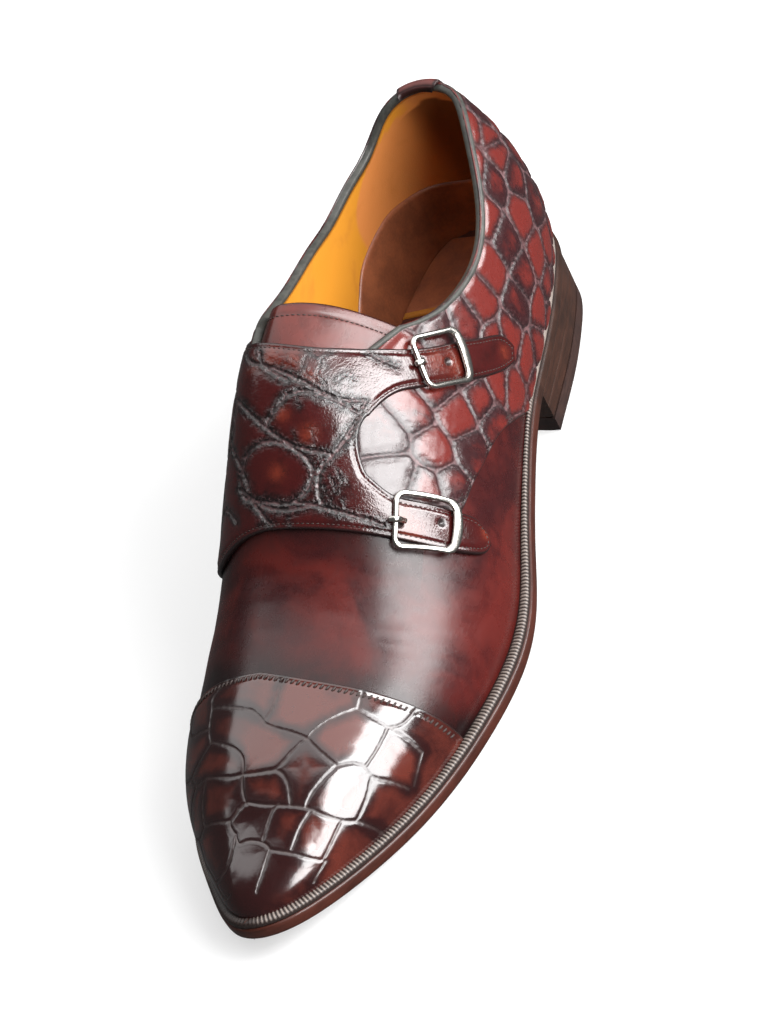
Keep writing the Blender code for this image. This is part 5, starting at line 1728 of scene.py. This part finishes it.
# %% Stitches of the tongue and the straps
TONGUE_INSET, TONGUE_PITCH = 4.2, 1.8  # mm from the border, and from stitch to stitch
PER_SECTION = 24.0  # mm that one section takes on the tongue
v_line = np.linspace(-0.40, 0.46, 300)
line = np.column_stack([tongue_top(v_line) - TONGUE_INSET / PER_SECTION, v_line])
swollen = on_upper(line[:, 0], line[:, 1], tongue_height(line[:, 1]))
length = run(swollen, 0)
at = np.arange(TONGUE_PITCH / 2, length[-1] - TONGUE_PITCH / 2, TONGUE_PITCH)
point = np.column_stack([np.interp(at, length, swollen[:, k]) for k in range(3)])
along = np.gradient(point, axis=0)
along /= np.linalg.norm(along, axis=1, keepdims=True)
normal = last_normal(*across(*(np.interp(at, length, line[:, k]) for k in (0, 1))))
rows = [stitch_row((point + normal * 0.05, along, normal), 1.4, 0.45, 0.45)]
stitches("tongue_stitches", rows, dark_thread)


def inset_line(grid, front, inset):
    """Line of (a, v) that runs inset mm inside the front or the back edge of a ribbon."""
    points = on_upper(grid[..., 0], grid[..., 1], PANEL_FACE)
    along = run(points, 1) if front else run(points[:, ::-1], 1)
    table = grid if front else grid[:, ::-1]
    k = np.argmax(along > inset, axis=1)
    row = np.arange(len(grid))
    share = (inset - along[row, k - 1]) / (along[row, k] - along[row, k - 1])
    return table[row, k - 1] * (1 - share[:, None]) + table[row, k] * share[:, None]


def row_from_tip(grid, distance):
    """Number of rows that lie further than distance from the ribbon's last row."""
    middle = on_upper(grid[:, grid.shape[1] // 2, 0], grid[:, grid.shape[1] // 2, 1], PANEL_FACE)
    return int((run(middle[::-1], 0)[::-1] > distance).sum())


INSET = 1.8  # mm from the panel's border to its stitches
keep_low, keep_up = row_from_tip(lower, INSET), row_from_tip(upper, INSET)
low_front, low_back = inset_line(lower, True, INSET)[:keep_low], inset_line(lower, False, INSET)[:keep_low]
up_front, up_back = inset_line(upper, True, INSET)[:keep_up], inset_line(upper, False, INSET)[:keep_up]
fork_line = bottom + np.array([0.0, -0.018])
loop = np.vstack([
    inset_line(body, True, INSET), low_front[1:], low_back[::-1][:-2], fork_line[4:-4],
    up_front[2:], up_back[::-1], inset_line(body, False, INSET)[::-1],
])
rows = [stitch_row(stations(loop, 1.7, PANEL_FACE - 0.12), 1.3, 0.42, 0.42)]
stitches("strap_stitches", rows, dark_thread)

# %% [markdown]
# ## Buckles
#
# Each strap is held by a steel frame and a prong. The frame is bent from round-edged bar and its outer side
# is wider and bowed, so that the strap slides easily. It follows the curve of the foot, therefore it is not
# modelled flat: its outline is drawn in mm along and across the strap and then laid on the last.

# %% Buckle frames and prongs
# middle of the frame and the point that its strap aims at: section, place, section, place
BUCKLES = {"upper": (7.92, 0.558, 9.11, 0.810), "lower": (5.91, 0.540, 6.24, 0.785)}
FRAME_LENGTH, FRAME_WIDTH, FRAME_RADIUS = 22.8, 19.4, 3.0
BAR_SIDES = 18


def buckle_frame_axes(buckle, height):
    """Change of place for a mm along the strap and for a mm across it, as (a, v)."""
    a, v, tip_a, tip_v = buckle
    here = on_upper(a, v, height)
    da = (on_upper(a + NUDGE, v, height) - here) / NUDGE
    dv = (on_upper(a, v + NUDGE, height) - here) / NUDGE
    tangents = np.stack([da, dv], -1)
    aim = tangents @ np.array([tip_a - a, tip_v - v])
    aim /= np.linalg.norm(aim)
    side = np.cross(np.cross(da, dv), aim)
    side /= np.linalg.norm(side)
    return np.linalg.pinv(tangents) @ np.stack([aim, side], -1)


def over_strap(buckle, along, side, height):
    """Points over the strap: mm along it, mm across it, mm above the upper."""
    shift = np.stack([along, side], -1) @ buckle_frame_axes(buckle, 2.5).T
    return on_upper(buckle[0] + shift[..., 0], buckle[1] + shift[..., 1], height)


def bar(name, path, up, wide, thick, closed, finish):
    """A bar of rounded section carried along a path; wide may change along it."""
    ahead = np.roll(path, -1, 0) if closed else np.vstack([path[1:], 2 * path[-1] - path[-2]])
    behind = np.roll(path, 1, 0) if closed else np.vstack([2 * path[0] - path[1], path[:-1]])
    side = np.cross(ahead - behind, up)
    side /= np.linalg.norm(side, axis=1, keepdims=True)
    turn = np.linspace(0, 2 * np.pi, BAR_SIDES + 1)
    c, s = np.cos(turn), np.sin(turn)
    c, s = np.sign(c) * np.abs(c) ** 0.75, np.sign(s) * np.abs(s) ** 0.75
    wide = np.broadcast_to(wide, len(path))
    thick = np.broadcast_to(thick, len(path))
    rings = path[:, None] + c[None, :, None] * side[:, None] * wide[:, None, None] / 2
    rings = rings + s[None, :, None] * up[:, None] * thick[:, None, None] / 2
    if closed:
        rings = np.concatenate([rings, rings[:1]])
    faces = [grid_quads(*rings.shape[:2])]
    if not closed:
        last = (len(rings) - 1) * (BAR_SIDES + 1)
        faces.append([list(range(BAR_SIDES)), list(range(last, last + BAR_SIDES))[::-1]])
    return make_piece(name, rings, faces, finish)


def buckle(name, numbers):
    """Frame and prong of one buckle: the frame is a closed bar whose outer side is wider and bowed."""
    quarter_turn = np.linspace(0, np.pi / 2, 13)
    half_l, half_w = FRAME_LENGTH / 2 - 1.2, FRAME_WIDTH / 2 - 1.1
    corners = []
    for k, (x, y) in enumerate([(1, 1), (-1, 1), (-1, -1), (1, -1)]):
        angle = quarter_turn + k * np.pi / 2
        corners.append(np.column_stack([
            x * (half_l - FRAME_RADIUS) + FRAME_RADIUS * np.cos(angle),
            y * (half_w - FRAME_RADIUS) + FRAME_RADIUS * np.sin(angle),
        ]))
    outline = np.vstack(corners + [corners[0][:1]])
    length = run(outline, 0)
    at = np.linspace(0, length[-1], 161)[:-1]
    along, side = (np.interp(at, length, outline[:, k]) for k in (0, 1))
    outer = ease((along - half_l + 4.2) / 3.5)
    bow = outer * np.cos(np.clip(side / half_w, -1, 1) * np.pi / 2)
    along = along + 0.9 * bow
    height = 3.6 + 0.35 * bow
    path = over_strap(numbers, along, side, height)
    up = over_strap(numbers, along, side, height + 1) - path
    wide = 1.9 + 1.7 * outer * (0.5 + 0.5 * bow)
    frame_piece = bar("frame_" + name, path, up, wide, 1.6, True, bright_steel)
    dress(frame_piece, ["buckle_frame_" + name])
    share = np.linspace(0, 1, 26)
    along = -5.2 - share * 7.6
    height = 1.3 + 3.7 * ease(share * 1.5) - 0.9 * ease((share - 0.72) / 0.3)
    path = over_strap(numbers, along, 0 * along, height)
    up = over_strap(numbers, along, 0 * along, height + 1) - path
    size = np.sqrt(1 - np.clip((share - 0.93) / 0.075, 0, 1) ** 2)
    prong = bar("prong_" + name, path, up, 2.0 * size + 0.05, 1.5 * size + 0.05, False, bright_steel)
    dress(prong, ["buckle_prong_" + name])


for name, numbers in BUCKLES.items():
    buckle(name, numbers)
